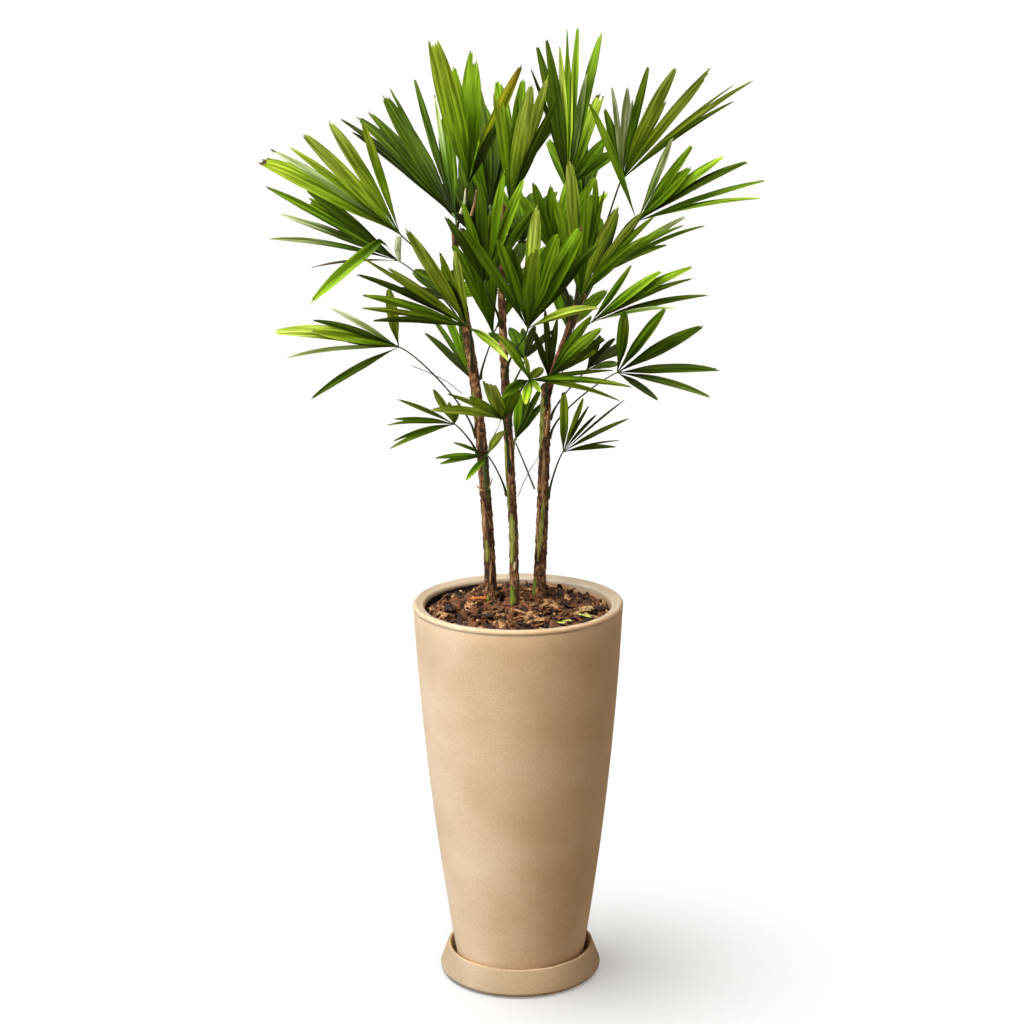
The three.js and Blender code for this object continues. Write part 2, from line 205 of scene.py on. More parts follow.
# A large soft box at the upper left, a weak one at the far right, a warm pale room, and lit paper below.
# The crown, the planter and the paper have each a lamp of their own besides.
# Each lamp: its turn and height in degrees, its strength, how wide it spreads, and its colour.
lamps = {
    "key": (-54, 52, 5.6, 45, (0.98, 1, 1.02)),
    "fill": (98, 14, 0.35, 60, (1, 1, 1)),
    "crown": (42, 38, 1.05, 60, (0.86, 1, 0.72)),
    "planter": (-80, 8, 1.85, 35, (0.03, 0.42, 1)),
    "paper": (-92, 76, 3.8, 44, (1, 1, 1)),
}
studio = {"room": 0.28, "roomColour": (1, 0.88, 0.74, 1), "floor": "#c8c8c8", "floorGlow": 0.24}
studio |= {"wallGlow": 1.05, "floorMetres": 120, "wallMetres": 40}


def addStudio():
    for name, (turn, height, strength, spread, colour) in lamps.items():
        data = bpy.data.lights.new(name + "Light", "SUN")
        data.energy, data.angle, data.color = strength, math.radians(spread), colour
        turn, height = math.radians(turn), math.radians(height)
        to = Vector((math.sin(turn) * math.cos(height), -math.cos(turn) * math.cos(height), math.sin(height)))
        addObject(name + "Light", data).rotation_euler = to.to_track_quat("Z", "Y").to_euler()
    world = bpy.data.worlds.new("paleRoom")
    world.use_nodes = True
    background = world.node_tree.nodes["Background"].inputs
    background["Color"].default_value = studio["roomColour"]
    background["Strength"].default_value = studio["room"]
    bpy.context.scene.world = world
    # seamless studio paper, matt and lit from below as on a product table, and white walls far off
    glow = {"Emission Color": (1, 1, 1, 1), "Specular IOR Level": 0.0}
    lit = {"Base Color": fromHex(studio["floor"]), "Roughness": 0.9, "Emission Strength": studio["floorGlow"]}
    paper, _, _ = newMaterial("studioPaper", lit | glow)
    lit = {"Base Color": (0, 0, 0, 1), "Emission Strength": studio["wallGlow"]}
    wall, _, _ = newMaterial("whiteWall", lit | glow)
    half, high = studio["floorMetres"] / 2 / mm, studio["wallMetres"] / mm
    square = [(-half, -half), (half, -half), (half, half), (-half, half)]
    corners = [(x, y, z) for z in (0, high) for x, y in square]
    faces = [(0, 1, 2, 3)] + [((i + 1) % 4, i, i + 4, (i + 1) % 4 + 4) for i in range(4)]
    mesh = makeMesh("paperFloor", corners, faces, [paper, wall], [0, 1, 1, 1, 1])
    floor = addObject("paperFloor", mesh)
    # they throw no light back and keep none out
    floor.visible_diffuse = floor.visible_glossy = floor.visible_shadow = False
    bpy.context.scene.view_settings.view_transform = "Standard"
    return floor


def shareLight(lamp, things, use="receiver", state="INCLUDE"):
    # The lamp reaches, or is shaded by, these things alone, or all but these.
    group = bpy.data.collections.new(lamp + use.title())
    for thing in things:
        group.objects.link(thing)
    for item in group.collection_objects:
        item.light_linking.link_state = state
    setattr(bpy.data.objects[lamp].light_linking, use + "_collection", group)


addCamera()
floor = addStudio()
shareLight("keyLight", [floor], state="EXCLUDE")
shareLight("paperLight", [floor])
print("camera and studio")


# Stoneware, cast and left unglazed: matt, softly clouded, with a fine grit.
def stonewareMaterial(name, stops):
    material, tree, shader = newMaterial(name, {"Roughness": 0.72, "IOR": 1.5})
    colour, _ = clouded(tree, 120, 4, stops)
    # the real grit is finer than a millimetre: drawn coarser, so that it shows
    speck, grit = clouded(tree, 2, 3, [(0.3, "#e2ddd4"), (0.6, "#ffffff")])
    both = addNode(tree, "ShaderNodeMix", {0: 0.8, 6: colour, 7: speck}, **multiply)
    dress(tree, shader, both.outputs[2], grit, 0.15, 0.4)
    return material


# The pot is sand-coloured, with a greyer, darker rim: painted shade that holds down the light on the rim's
# upward face; the saucer under it is tan.
sandware = stonewareMaterial("sandStoneware", [(0.3, "#d1aa7d"), (0.5, "#dcb58a"), (0.7, "#e3c098")])
rimShadeware = stonewareMaterial("greyedStoneware", [(0.3, "#b59f82"), (0.5, "#c0aa8d"), (0.7, "#cab699")])
tanware = stonewareMaterial("tanStoneware", [(0.3, "#a98a64"), (0.5, "#b49671"), (0.7, "#be9f7c")])

saucer = {"foot": 131, "belly": 134, "top": 122, "bore": 116, "height": 45, "floor": 11, "round": 8}
saucer |= {"chamfer": (1, 1.6), "cove": 6}
pot = {"foot": 104, "rim": 171, "height": 640, "wall": 12, "base": 24, "lip": 5.5, "brim": 19, "brimDrop": 9}
pot |= {"bulge": 9.3, "gap": 0.3, "chamfer": 3, "cove": 6, "groove": 1.5, "skin": 0.2, "brimArc": (70, 200)}
lathe = {"sides": 160, "lipSteps": 12, "brimSteps": 10, "sideSteps": 26}


def turned(name, profile, materials, slot, rim=(0, 0)):
    # Spins a profile that starts and ends on the axis. Its stretch from one step to another is the rim.
    sides = lathe["sides"]
    points, rings, faces, tints = [], [], [], []
    for radius, height in profile:
        many = sides if radius else 1
        rings.append([len(points) + i % many for i in range(sides)])
        points += [onRing(radius, math.tau * i / sides, height) for i in range(many)]
    for step, (low, high) in enumerate(zip(rings, rings[1:])):
        for i in range(sides):
            k = (i + 1) % sides
            faces.append(tuple(dict.fromkeys((low[i], low[k], high[k], high[i]))))
            tints.append(int(rim[0] <= step < rim[1]))
    addPiece(makeMesh(name, points, faces, materials, tints, sharpFrom=50), [slot])


def arc(radius, height, size, first, last, steps):
    angles = [math.radians(first + (last - first) * i / steps) for i in range(steps + 1)]
    return [(radius + size * math.cos(a), height + size * math.sin(a)) for a in angles]


def potRadius(height):
    along = (height - saucer["floor"]) / (pot["height"] - saucer["floor"])
    return pot["foot"] + (pot["rim"] - pot["foot"]) * along + pot["bulge"] * 4 * along * (1 - along)


def addPlanter():
    s, p = saucer, pot
    lip = (s["top"] - s["bore"]) / 2
    foot = s["foot"] - s["round"]
    dish = [(0, 0), (foot - s["chamfer"][0], 0), (foot, s["chamfer"][1])]
    dish += arc(s["belly"] - s["round"], s["round"] + 1, s["round"], -62, 8, 8)
    dish += arc(s["bore"] + lip, s["height"] - lip, lip, 10, 175, 10)
    dish.append((s["bore"] - 2, s["floor"] + s["cove"] / 2))
    dish += [(s["bore"] - s["cove"], s["floor"]), (0, s["floor"])]
    turned("planter_saucer", dish, [tanware], "saucer")
    base, neck = s["floor"] + p["gap"], p["height"] - 2 * p["lip"]
    low, high = base + p["chamfer"], neck - 2
    floor = base + p["base"]
    levels = [low + (high - low) * i / lathe["sideSteps"] for i in range(lathe["sideSteps"] + 1)]
    side = [(0, base), (p["foot"] - p["chamfer"], base)]
    side += [(potRadius(level) - p["skin"], level) for level in levels]
    side.append((p["rim"] - p["groove"], neck + 1))
    rim = arc(p["rim"] - p["lip"], p["height"] - p["lip"], p["lip"], -40, 90, lathe["lipSteps"])
    brim = (p["rim"] - p["brim"] + p["lip"], p["height"] - p["brimDrop"])
    rim += arc(*brim, p["lip"], *p["brimArc"], lathe["brimSteps"])
    inside = [(potRadius(level) - p["wall"], level) for level in (602, 560, 470, 330, 180, floor + p["cove"])]
    inside += [(potRadius(floor) - p["wall"] - p["cove"], floor), (0, floor)]
    # the greyer rim of painted shade runs from three steps short of the lip's top to one step short of the
    # brim's foot
    greyed = (len(side) + lathe["lipSteps"] - 3, len(side) + len(rim) - 2)
    turned("planter_pot", side + rim + inside, [sandware, rimShadeware], "pot", greyed)


addPlanter()
planterPieces = [o for o in bpy.data.objects if o.name.startswith("planter_")]
shareLight("paperLight", planterPieces, use="blocker")
shareLight("planterLight", planterPieces)
print("planter")


# Points up the middle of each cane, x y z, and its radius there.
canes = {
    "left": [
        (-43, 27, 626, 9.4), (-47, 27, 735, 8.8), (-57, 27, 900, 8.3), (-67, 27, 1000, 7.9),
        (-81, 25, 1100, 6.6), (-98, 20, 1240, 3.8),
    ],
    "middle": [
        (-6, 0, 626, 7.4), (-6, 0, 742, 7.1), (-13, 0, 905, 6.9), (-19, 0, 1020, 6.5), (-23, 4, 1130, 5.6),
        (-19, 8, 1280, 3.4),
    ],
    "right": [
        (34, 42, 626, 9.6), (39, 42, 730, 8.9), (44, 42, 865, 8.1), (47, 42, 975, 7.3), (76, 42, 1053, 6),
        (124, 40, 1195, 3.6),
    ],
}

leafSize = {"keel": 0.0115, "keelLeast": 3, "sag": 0.06, "steady": 0.7, "shorter": 0.2, "margin": 0.6}
leafSize |= {"share": (0.72, 1.22), "waver": 6, "twist": (16, 40), "strayTwist": 12}
# What a leaflet tries in turn where something is in its way: shares of its length, degrees aside.
leafRoom = {"shares": (1, 0.82, 0.64), "asides": (0, 7, -7, 14, -14, 21, -21)}


def even(first, last, count, length):  # leaflets from one sweep to another, the outer ones shorter
    places = [i / (count - 1) for i in range(count)]
    return [
        (first + (last - first) * p, length * (1 - leafSize["shorter"] * (2 * p - 1) ** 2)) for p in places
    ]


# Each frond: height of its base on the cane, its hub x y z, how far its first, middle and last leaflets lean
# to the front (degrees, minus to the back), how broad a leaflet usually is, and its leaflets: sweep
# (degrees in the XZ plane, from +X up), length, and breadth beside the usual.
fronds = {
    "left": [
        (1120, -178, -60, 1244, 7, 20, 27, 24, [(149, 245, 1.3), (143, 245, 0.6), (137, 235, 0.5),
            (129, 237, 0.9), (118, 229, 0.82), (105, 207, 0.6)]),
        (1085, -186, 24, 1192, -16, -28, -40, 20, [(142, 202, 1.2), (151, 265, 0.75), (148, 189, 1.4),
            (151, 216, 0.4), (160, 251, 0.6), (159, 216, 0.5), (172, 280, 0.5), (186, 192, 0.25)]),
        (1165, -96, 50, 1257, -24, -30, -36, 23, [(141, 242, 0.5), (140, 271, 0.5), (135, 250, 0.9),
            (130, 243, 0.9), (121, 253, 1.35), (118, 273, 0.4), (107, 263, 0.6), (100, 238, 0.4),
            (96, 209, 1.2)]),
        (1215, -72, -60, 1319, 20, 8, 17, 25, [(102, 245, 1.6), (96, 190, 0.8), (87, 208, 1.3),
            (66, 206, 0.75), (64, 122, 0.6)]),
        (1000, -37, 24, 1073, 12, 16, 20, 21, even(112, 60, 6, 218)),
        (1015, -75, -60, 1099, 30, 30, 30, 19, [(167, 169, 0.55), (161, 194, 0.7), (154, 208, 0.75),
            (147, 224, 0.6), (139, 241, 0.6), (136, 190, 0.8), (117, 232, 1.1), (109, 102, 0.8),
            (107, 157, 0.7), (97, 161, 0.9)]),
        (905, -184, -40, 1065, 30, 30, 30, 20, [(203, 171, 0.6), (176, 194, 0.35), (164, 218, 1.15),
            (165, 90, 0.6), (160, 159, 1), (153, 167, 0.6), (142, 145, 0.5), (96, 129, 1)]),
        (875, -99, -10, 935, 40, 40, 40, 14, [(188, 131, 0.75), (182, 122, 0.65), (166, 142, 0.85),
            (161, 126, 0.8), (143, 140, 1), (112, 110, 1), (99, 61, 0.8), (80, 55, 0.8)]),
        (950, -69, 80, 985, -50, -50, -50, 12, even(140, 104, 4, 200)),
        (1145, -70, 150, 1216, -38, -58, -64, 25, even(130, 56, 6, 215)),
        (1050, -105, 170, 1105, -46, -66, -70, 20, even(170, 90, 5, 165)),
    ],
    "middle": [
        (1150, -40, 60, 1267, -14, -20, -14, 22, even(118, 60, 6, 205)),
        (1215, -9, -60, 1284, 14, 14, 14, 22, [(97, 199, 0.7), (93, 170, 0.8), (86, 177, 0.7),
            (80, 203, 1.3), (74, 218, 0.9), (67, 187, 0.7)]),
        (1000, 17, -175, 1115, 16, 22, 16, 24, [(121, 201, 1), (107, 165, 0.9), (102, 146, 1),
            (86, 219, 0.95), (74, 176, 1.2), (64, 196, 1.3), (53, 186, 0.9)]),
        (815, -48, -12, 884, 46, 46, 46, 12, [(141, 100, 0.5), (165, 119, 0.75), (173, 107, 0.7),
            (219, 64, 1)]),
        (860, -22, -60, 952, 44, 44, 44, 17, [(157, 163, 0.9), (141, 150, 0.7), (132, 110, 0.8),
            (104, 120, 1.6), (72, 104, 1.5)]),
        (920, 19, -130, 1028, 40, 40, 40, 17, [(118, 135, 0.8), (98, 59, 0.5), (53, 41, 1), (18, 166, 0.7),
            (9, 203, 0.8), (-2, 170, 0.95)]),
        (790, -3, 110, 882, -50, -50, -50, 14, even(85, 45, 4, 150)),
        (1190, -6, 118, 1300, -22, -34, -22, 23, even(126, 54, 6, 208)),
        (1115, 10, 205, 1192, -48, -70, -48, 25, even(140, 30, 6, 240)),
        (1050, -24, 205, 1112, -52, -76, -52, 24, even(186, 26, 6, 250)),
        (1090, -48, -62, 1166, 12, 12, 12, 20, [(118, 128, 0.9), (104, 143, 1), (92, 168, 1), (80, 189, 1),
            (70, 184, 1), (58, 153, 0.9)]),
        (955, 14, 150, 1010, -60, -78, -60, 18, even(150, 35, 5, 165)),
    ],
    "right": [
        (1120, 82, 30, 1305, -10, -10, -40, 20, [(107, 197, 0.5), (102, 227, 0.8), (98, 235, 0.8),
            (93, 222, 0.7), (90, 250, 0.35), (90, 219, 1), (86, 257, 0.75), (80, 188, 0.7), (77, 262, 0.9),
            (69, 176, 1.3), (49, 124, 0.9), (33, 131, 1.2)]),
        (1150, 163, -30, 1321, 28, 22, 12, 19, [(104, 139, 0.9), (97, 171, 0.55), (88, 166, 0.8),
            (84, 146, 0.5), (79, 206, 0.85), (67, 217, 1.2), (63, 155, 0.7), (54, 238, 1.1),
            (43, 242, 0.45), (40, 264, 0.55), (38, 220, 0.5)]),
        (1105, 185, -80, 1263, 30, 30, 30, 17, [(71, 167, 0.7), (59, 170, 0.9), (51, 142, 1.2),
            (43, 195, 0.85), (35, 224, 0.75), (24, 226, 0.55), (17, 210, 0.45)]),
        (1080, 120, 88, 1149, -40, -40, -40, 15, [(32, 189, 0.5), (30, 246, 1), (29, 259, 0.4),
            (27, 230, 0.6), (22, 274, 0.6), (21, 188, 0.7)]),
        (1020, 117, -40, 1102, 30, 30, 30, 17, [(60, 133, 0.65), (43, 164, 1), (36, 213, 0.78),
            (33, 172, 0.4), (31, 205, 0.55), (21, 213, 0.6), (18, 159, 0.4)]),
        (1045, 97, -110, 1151, 20, 20, 20, 22, [(104, 190, 0.8), (95, 243, 1.1), (85, 211, 1.3),
            (79, 195, 0.5), (70, 171, 1.1), (57, 185, 0.8), (51, 183, 0.6), (47, 155, 0.8)]),
        (955, 50, -20, 1010, 38, 46, 46, 18, [(105, 124, 0.7), (93, 185, 0.6), (84, 160, 0.7),
            (63, 195, 0.9), (54, 198, 1.1), (48, 184, 0.9), (42, 141, 0.8)]),
        (930, 113, 60, 1008, -66, -66, -66, 18, [(58, 122, 0.9), (34, 153, 0.9), (18, 174, 1.2),
            (6, 183, 0.9), (-8, 153, 0.8)]),
        (900, 158, -30, 1020, 36, 36, 36, 19, [(86, 143, 1.1), (61, 175, 0.88), (38, 193, 1.05),
            (12, 188, 0.75), (-5, 169, 0.58), (-26, 87, 0.58)]),
        (800, 74, 20, 882, 38, 38, 38, 13, [(91, 157, 1.25), (75, 148, 0.85), (68, 131, 0.6),
            (57, 118, 0.5), (50, 181, 0.4), (40, 173, 0.8), (25, 123, 0.45), (18, 108, 0.75)]),
        (1130, 110, 150, 1250, -40, -58, -40, 22, even(116, 72, 4, 215)),
        (1065, 132, 190, 1140, -44, -64, -42, 22, even(108, 50, 5, 215)),
        (1092, 58, -32, 1204, 10, 14, 18, 20, [(118, 122, 0.9), (104, 128, 1), (92, 122, 1), (78, 153, 1),
            (64, 153, 0.9), (52, 143, 0.9)]),
        (985, 86, 180, 1052, -52, -72, -50, 20, even(112, 40, 5, 175)),
    ],
}

# Leaflets that stand apart from their fan: cane, frond number, sweep, lean, length, breadth.
strays = [
    ("left", 2, 202, 14, 155, 20),
    ("left", 6, -30, 44, 100, 14),
    ("middle", 3, 23, 26, 126, 16),
    ("middle", 3, 86, 40, 186, 25),
    ("middle", 4, 65, 50, 105, 15),
    ("middle", 6, -24, 66, 46, 13),
    ("middle", 6, -105, 66, 61, 14),
    ("middle", 6, 184, 66, 100, 15),
    ("right", 3, 112, 20, 219, 12),
]

caneSolid = {"sides": 14, "flare": 1.12, "flareHeight": 22, "gap": 0.3}
stalkSize = {"width": 4.6, "depth": 3.2, "steps": 5, "rise": 0.24, "reach": 0.14, "taper": 0.35}
leafOutline = [(0.012, 0.09), (0.4, 0.96), (0.76, 0.8), (1, 0.16)]


def chanceFrom(seed):  # the same numbers every time, from a small congruential rule
    state = (seed * 7919 + 101) % 53125

    def draw():
        nonlocal state
        state = (state * 171 + 11213) % 53125
        return state / 53125

    return draw


def caneAt(points, height):
    end = next((i for i in range(1, len(points)) if points[i][2] >= height), len(points) - 1)
    below, above = points[end - 1], points[end]
    along = (height - below[2]) / (above[2] - below[2])
    x, y, _, radius = (b + (a - b) * along for a, b in zip(above, below))
    run = (Vector(above[:3]) - Vector(below[:3])).normalized()
    return Vector((x, y, height)), radius, run


def stalkPath(seat, centre, aim, steps):
    # Points and ways of the bent stalk from the side of its cane to its hub.
    middle, radius, run = seat
    out = Vector((centre.x - middle.x, centre.y - middle.y, 0)).normalized()
    start = middle + out * (radius + caneSolid["gap"] + stalkSize["depth"] / 2)
    span = (centre - start).length
    a, b = start + run * span * stalkSize["rise"], centre - aim * span * stalkSize["reach"]
    path = []
    for i in range(steps + 1):
        t, r = i / steps, 1 - i / steps
        point = start * r**3 + a * 3 * r * r * t + b * 3 * r * t * t + centre * t**3
        way = (a - start) * r * r + (b - a) * 2 * r * t + (centre - b) * t * t
        path.append((point, way.normalized()))
    return path, Vector((-out.y, out.x, 0))


def stalkFrame(way, level):
    side = (level - way * way.dot(level)).normalized()
    return side, way.cross(side)


def direction(sweep, lean):
    a, b = math.radians(sweep), math.radians(lean)
    return Vector((math.cos(b) * math.cos(a), -math.sin(b), math.cos(b) * math.sin(a)))


def through(first, middle, last, place):
    rest = 1 - place
    return first * rest * (rest - place) + 4 * middle * place * rest + last * place * (place - rest)


def fanOf(row, number):
    leanFirst, leanMiddle, leanLast, broad, leaflets = row[4:]
    chance = chanceFrom(number)

    def between(least, most):
        return least + (most - least) * chance()

    handed = 1 if number % 2 else -1
    turning = math.copysign(1, leaflets[-1][0] - leaflets[0][0])
    leaves = []
    for i, (sweep, long, *given) in enumerate(leaflets):
        place = i / (len(leaflets) - 1)
        lean = through(leanFirst, leanMiddle, leanLast, place) + (chance() - 0.5) * leafSize["waver"]
        share = between(*leafSize["share"])
        twist = handed * between(*leafSize["twist"])
        leaf = {"sweep": sweep, "lean": lean, "long": long, "wide": broad * (given[0] if given else share)}
        leaves.append({**leaf, "twist": twist, "turning": turning, "place": place, "index": i})
    return leaves


def bladeFrame(leaf):
    way = direction(leaf["sweep"], leaf["lean"])
    beside = direction(leaf["sweep"] + leaf["turning"], leaf["lean"])
    flatFace = way.cross(beside).normalized()
    if flatFace.z < 0:
        flatFace.negate()
    flatSide = flatFace.cross(way)
    twist = math.radians(leaf["twist"])
    side = flatSide * math.cos(twist) + flatFace * math.sin(twist)
    face = flatFace * math.cos(twist) - flatSide * math.sin(twist)
    return way, side, face


def dropOf(way):
    return leafSize["sag"] * (1 - leafSize["steady"] * abs(way.z))


def bladeRings(centre, leaf, margin):
    way, side, face = bladeFrame(leaf)
    keel = max(leafSize["keelLeast"], leaf["long"] * leafSize["keel"])
    rings = []
    for along, share in leafOutline:
        middle = centre + way * leaf["long"] * along
        middle.z -= leaf["long"] * dropOf(way) * along * along
        half = leaf["wide"] * share / 2 + margin
        flat = middle + face * margin
        rings.append([flat + side * half, flat - side * half, middle - face * (keel + margin)])
    return rings


def loft(rings):
    # Points and triangles of a closed solid through rings.
    count = len(rings[0])
    faces = []
    for ring in range(len(rings) - 1):
        for i in range(count):
            here, next_ = ring * count + i, ring * count + (i + 1) % count
            faces += [(here, next_, here + count), (next_, next_ + count, here + count)]
    last = (len(rings) - 1) * count
    for i in range(1, count - 1):
        faces += [(0, i + 1, i), (last, last + i, last + i + 1)]
    return [point for ring in rings for point in ring], faces


def coarseSolid(parts, owner):
    # A solid of one or more parts, ready to be tested against others.
    points, faces = [], []
    for partPoints, partFaces in parts:
        shift = len(points)
        points += partPoints
        faces += [tuple(i + shift for i in face) for face in partFaces]
    corners = np.array([tuple(point) for point in points])
    tree = BVHTree.FromPolygons(points, faces, all_triangles=True)
    return {"tree": tree, "owner": owner, "low": corners.min(0), "high": corners.max(0)}


def meets(solid, others):
    for other in others:
        if (solid["low"] <= other["high"]).all() and (other["low"] <= solid["high"]).all():
            if solid["tree"].overlap(other["tree"]):
                return True
    return False


def placed(centre, leaf, others):
    # A leaflet that would touch something leans aside, or is shorter, or is left out.
    for share in leafRoom["shares"]:
        for aside in leafRoom["asides"]:
            tried = {**leaf, "long": leaf["long"] * share, "lean": leaf["lean"] + aside}
            if not meets(coarseSolid([loft(bladeRings(centre, tried, leafSize["margin"]))], ""), others):
                return tried
    return None


def coarseCane(points):
    def ring(x, y, z, radius):
        turns = [math.tau * i / caneSolid["sides"] for i in range(caneSolid["sides"])]
        return [Vector(onRing(radius, angle, z, x, y)) for angle in turns]

    x, y, z, radius = points[0]
    middle, footRadius, _ = caneAt(points, z + caneSolid["flareHeight"])
    rings = [ring(x, y, z + caneSolid["gap"], radius * caneSolid["flare"]), ring(*middle, footRadius)]
    return loft(rings + [ring(*point) for point in points[1:]])


def coarseStalk(frond):
    path, level = stalkPath(frond["seat"], frond["centre"], frond["aim"], stalkSize["steps"])
    rings = []
    for i, (point, way) in enumerate(path):
        side, face = stalkFrame(way, level)
        taper = 1 - stalkSize["taper"] * i / stalkSize["steps"]
        w, d = side * stalkSize["width"] * taper / 2, face * stalkSize["depth"] * taper / 2
        rings.append([point + w + d, point - w + d, point - w - d, point + w - d])
    return loft(rings)


def planFronds():
    # Every frond with its stalk and the leaflets that find room, in the order in which they are placed.
    plan, taken = [], []
    for cane, points in canes.items():
        taken.append(coarseSolid([coarseCane(points)], "cane_" + cane))
    for cane, rows in fronds.items():
        for order, row in enumerate(rows, 1):
            frond = {"name": f"frond_{cane}_{order}", "cane": cane, "order": order, "number": len(plan) + 1}
            frond["seat"] = caneAt(canes[cane], row[0])
            frond["centre"] = Vector(row[1:4])
            frond["leaves"] = fanOf(row, frond["number"])
            for strayCane, strayOrder, sweep, lean, long, wide in strays:
                if (strayCane, strayOrder) == (cane, order):
                    stray = {"sweep": sweep, "lean": lean, "long": long, "wide": wide, "stray": True}
                    stray |= {"twist": leafSize["strayTwist"], "turning": -1, "place": 0.5}
                    frond["leaves"].append({**stray, "index": len(frond["leaves"])})
            ways = [direction(leaf["sweep"], leaf["lean"]) for leaf in frond["leaves"]]
            frond["aim"] = sum(ways, Vector()).normalized()
            plan.append(frond)
            taken.append(coarseSolid([coarseStalk(frond)], frond["name"]))
    for frond in plan:
        others = [solid for solid in taken if solid["owner"] != frond["name"]]
        frond["leaves"] = [placed(frond["centre"], leaf, others) for leaf in frond["leaves"]]
        frond["leaves"] = [leaf for leaf in frond["leaves"] if leaf]
        blades = [loft(bladeRings(frond["centre"], leaf, 0)) for leaf in frond["leaves"]]
        taken.append(coarseSolid([coarseStalk(frond), *blades], frond["name"]))
    return plan


plan = planFronds()
print("fan rule:", len(plan), "fronds,", sum(len(frond["leaves"]) for frond in plan), "leaflets")


# Leaflet skin: satin, in lengthwise bands, its colour running from nearly black-green at the hub to
# yellow-green at the tip: painted shade at the hub, where the neighbouring leaflets shade it, and painted
# light toward the tip.
# The tints k to y are lighter and darker copies of one green: partly the leaflets' own tones, partly painted
# light and shade for how much light each leaflet catches.
leafTints = {
    "k": ("#131b05", "#2b3809", "#37470e"),  # deep
    "d": ("#192405", "#43560f", "#597019"),  # dark
    "m": ("#253706", "#658613", "#86a722"),  # middling
    "f": ("#2e4408", "#83aa1e", "#afd038"),  # fresh
    "b": ("#3d5a0a", "#a6ca2c", "#cee24c"),  # bright
    "y": ("#557a10", "#c1dc44", "#e1f078"),  # yellow-green
    "p": ("#364e18", "#a2bd68", "#eef4c8"),  # pale and dull, with a painted highlight of whitish sheen
    "q": ("#253706", "#638424", "#e6f0b8"),  # green with a pale end
    "w": ("#5f7636", "#dcecae", "#f6fae4"),  # painted highlight, almost white-green
    "g": ("#40580c", "#a2b01c", "#846a1e"),  # golden
    "n": ("#423b1c", "#796440", "#b9a182"),  # withered
}
# across and dim: broad lengthwise bands, partly veins and partly painted shade of the pleats; fine and thin:
# fine veins
veinsAndPleatShade = {"across": 5.5, "fine": 1.4, "along": 90, "depth": 0.35, "dim": "#8c9c4e", "thin": "#c8cf9c"}
veinsAndPleatShade |= {"stretches": 400, "apart": 30}
leafGloss = (1, 0.95, 0.66, 1)


def leafMaterial(tint):
    base, middle, tip = leafTints[tint]
    surface = {"Roughness": 0.44, "IOR": 1.45, "Specular IOR Level": 0.09, "Specular Tint": leafGloss}
    material, tree, shader = newMaterial(tint + "Leaf", surface)
    along = addNode(tree, "ShaderNodeAttribute", attribute_name="along").outputs["Fac"]
    stops = [(0.02, base), (0.45, middle), (1, tip)]
    colour = addNode(tree, "ShaderNodeValToRGB", {"Fac": along}, stops=stops).outputs["Color"]
    blade = addNode(tree, "ShaderNodeUVMap", uv_map="blade").outputs["UV"]
    # the first pass darkens broad bands, partly veins and partly painted pleat shade; the second draws fine
    # veins
    for across, dim, share in (("across", "dim", 0.8), ("fine", "thin", 0.6)):
        spread = (scaleFor(veinsAndPleatShade[across]), scaleFor(veinsAndPleatShade["along"]), 1)
        lines = addNode(tree, "ShaderNodeMapping", {"Vector": blade, "Scale": spread}).outputs["Vector"]
        given = {"Vector": lines, "Scale": 1, "Detail": 1}
        band = addNode(tree, "ShaderNodeTexNoise", given, noise_dimensions="2D").outputs["Fac"]
        stops = [(0.38, veinsAndPleatShade[dim]), (0.6, "#ffffff")]
        streak = addNode(tree, "ShaderNodeValToRGB", {"Fac": band}, stops=stops).outputs["Color"]
        colour = addNode(tree, "ShaderNodeMix", {0: share, 6: colour, 7: streak}, **multiply).outputs[2]
    dress(tree, shader, colour, band, 0.3, veinsAndPleatShade["depth"])
    return material


# Dead tip tissue: dry and papery, brown.
dryTip, _, _ = newMaterial("dryLeafTip", {"Base Color": fromHex("#4c3b1c"), "Roughness": 0.8})
leafMaterials = [leafMaterial(tint) for tint in leafTints] + [dryTip]
tintNames = "".join(leafTints)

leafLook = {
    "stations": [0.012, 0.04, 0.08, 0.13, 0.19, 0.26, 0.34, 0.42, 0.5, 0.58]
    + [0.65, 0.71, 0.765, 0.815, 0.86, 0.9, 0.935, 0.97, 1],
    "perFold": 4, "foldWidth": 7, "folds": (2, 5), "pleat": 0.2, "thickness": 0.5, "foot": 0.08,
    "full": (0.4, 0.5), "late": (0.56, 0.68), "narrow": 10, "broad": 30, "blunt": (0.26, 0.42),
    "spread": 0.07, "tipCurve": 1.8, "notch": (0.006, 0.024), "notchCurve": 1.4, "notchFrom": 0.7,
    "uneven": 0.03, "outerShort": 0.03, "vee": (44, 10), "strayVee": (44, 30), "veeEase": 0.4,
    "droop": (0.01, 0.06), "strayDroop": (0.06, 0.14), "arch": 0.045, "archWaver": 0.02, "roll": 14,
    "dryShare": 0.08, "dryFrom": (0.93, 0.975), "tintSpread": 0.7, "seed": 31,
}

# The tint of each leaflet of the fans that show most, in order, in capitals where its tip is dry.
# Each tint is partly the leaflet's own colour and partly painted light and shade: leaflets turned away from
# the lamps get lighter tints, shaded ones darker.
fanTints = {
    "left": {
        1: "BPbyyb", 2: "dmmdqdqnf", 3: "kkdDdddqm", 4: "bffgk", 6: "dbFdbyykByy", 7: "dpYdBdwy",
        8: "fmffbyyb",
    },
    "middle": {2: "bfmyyd", 3: "mmdymmdyf", 4: "mmmmy", 5: "yyfym", 6: "byyffbybm"},
    "right": {
        1: "kddymyfpMbmm", 2: "mwwwfyyyyym", 3: "pmmfdmff", 4: "fpffmm", 5: "mfFdddp", 6: "fYfmyyff",
        7: "dddmfdf", 9: "mmdddk", 10: "bbdddmdd",
    },
}
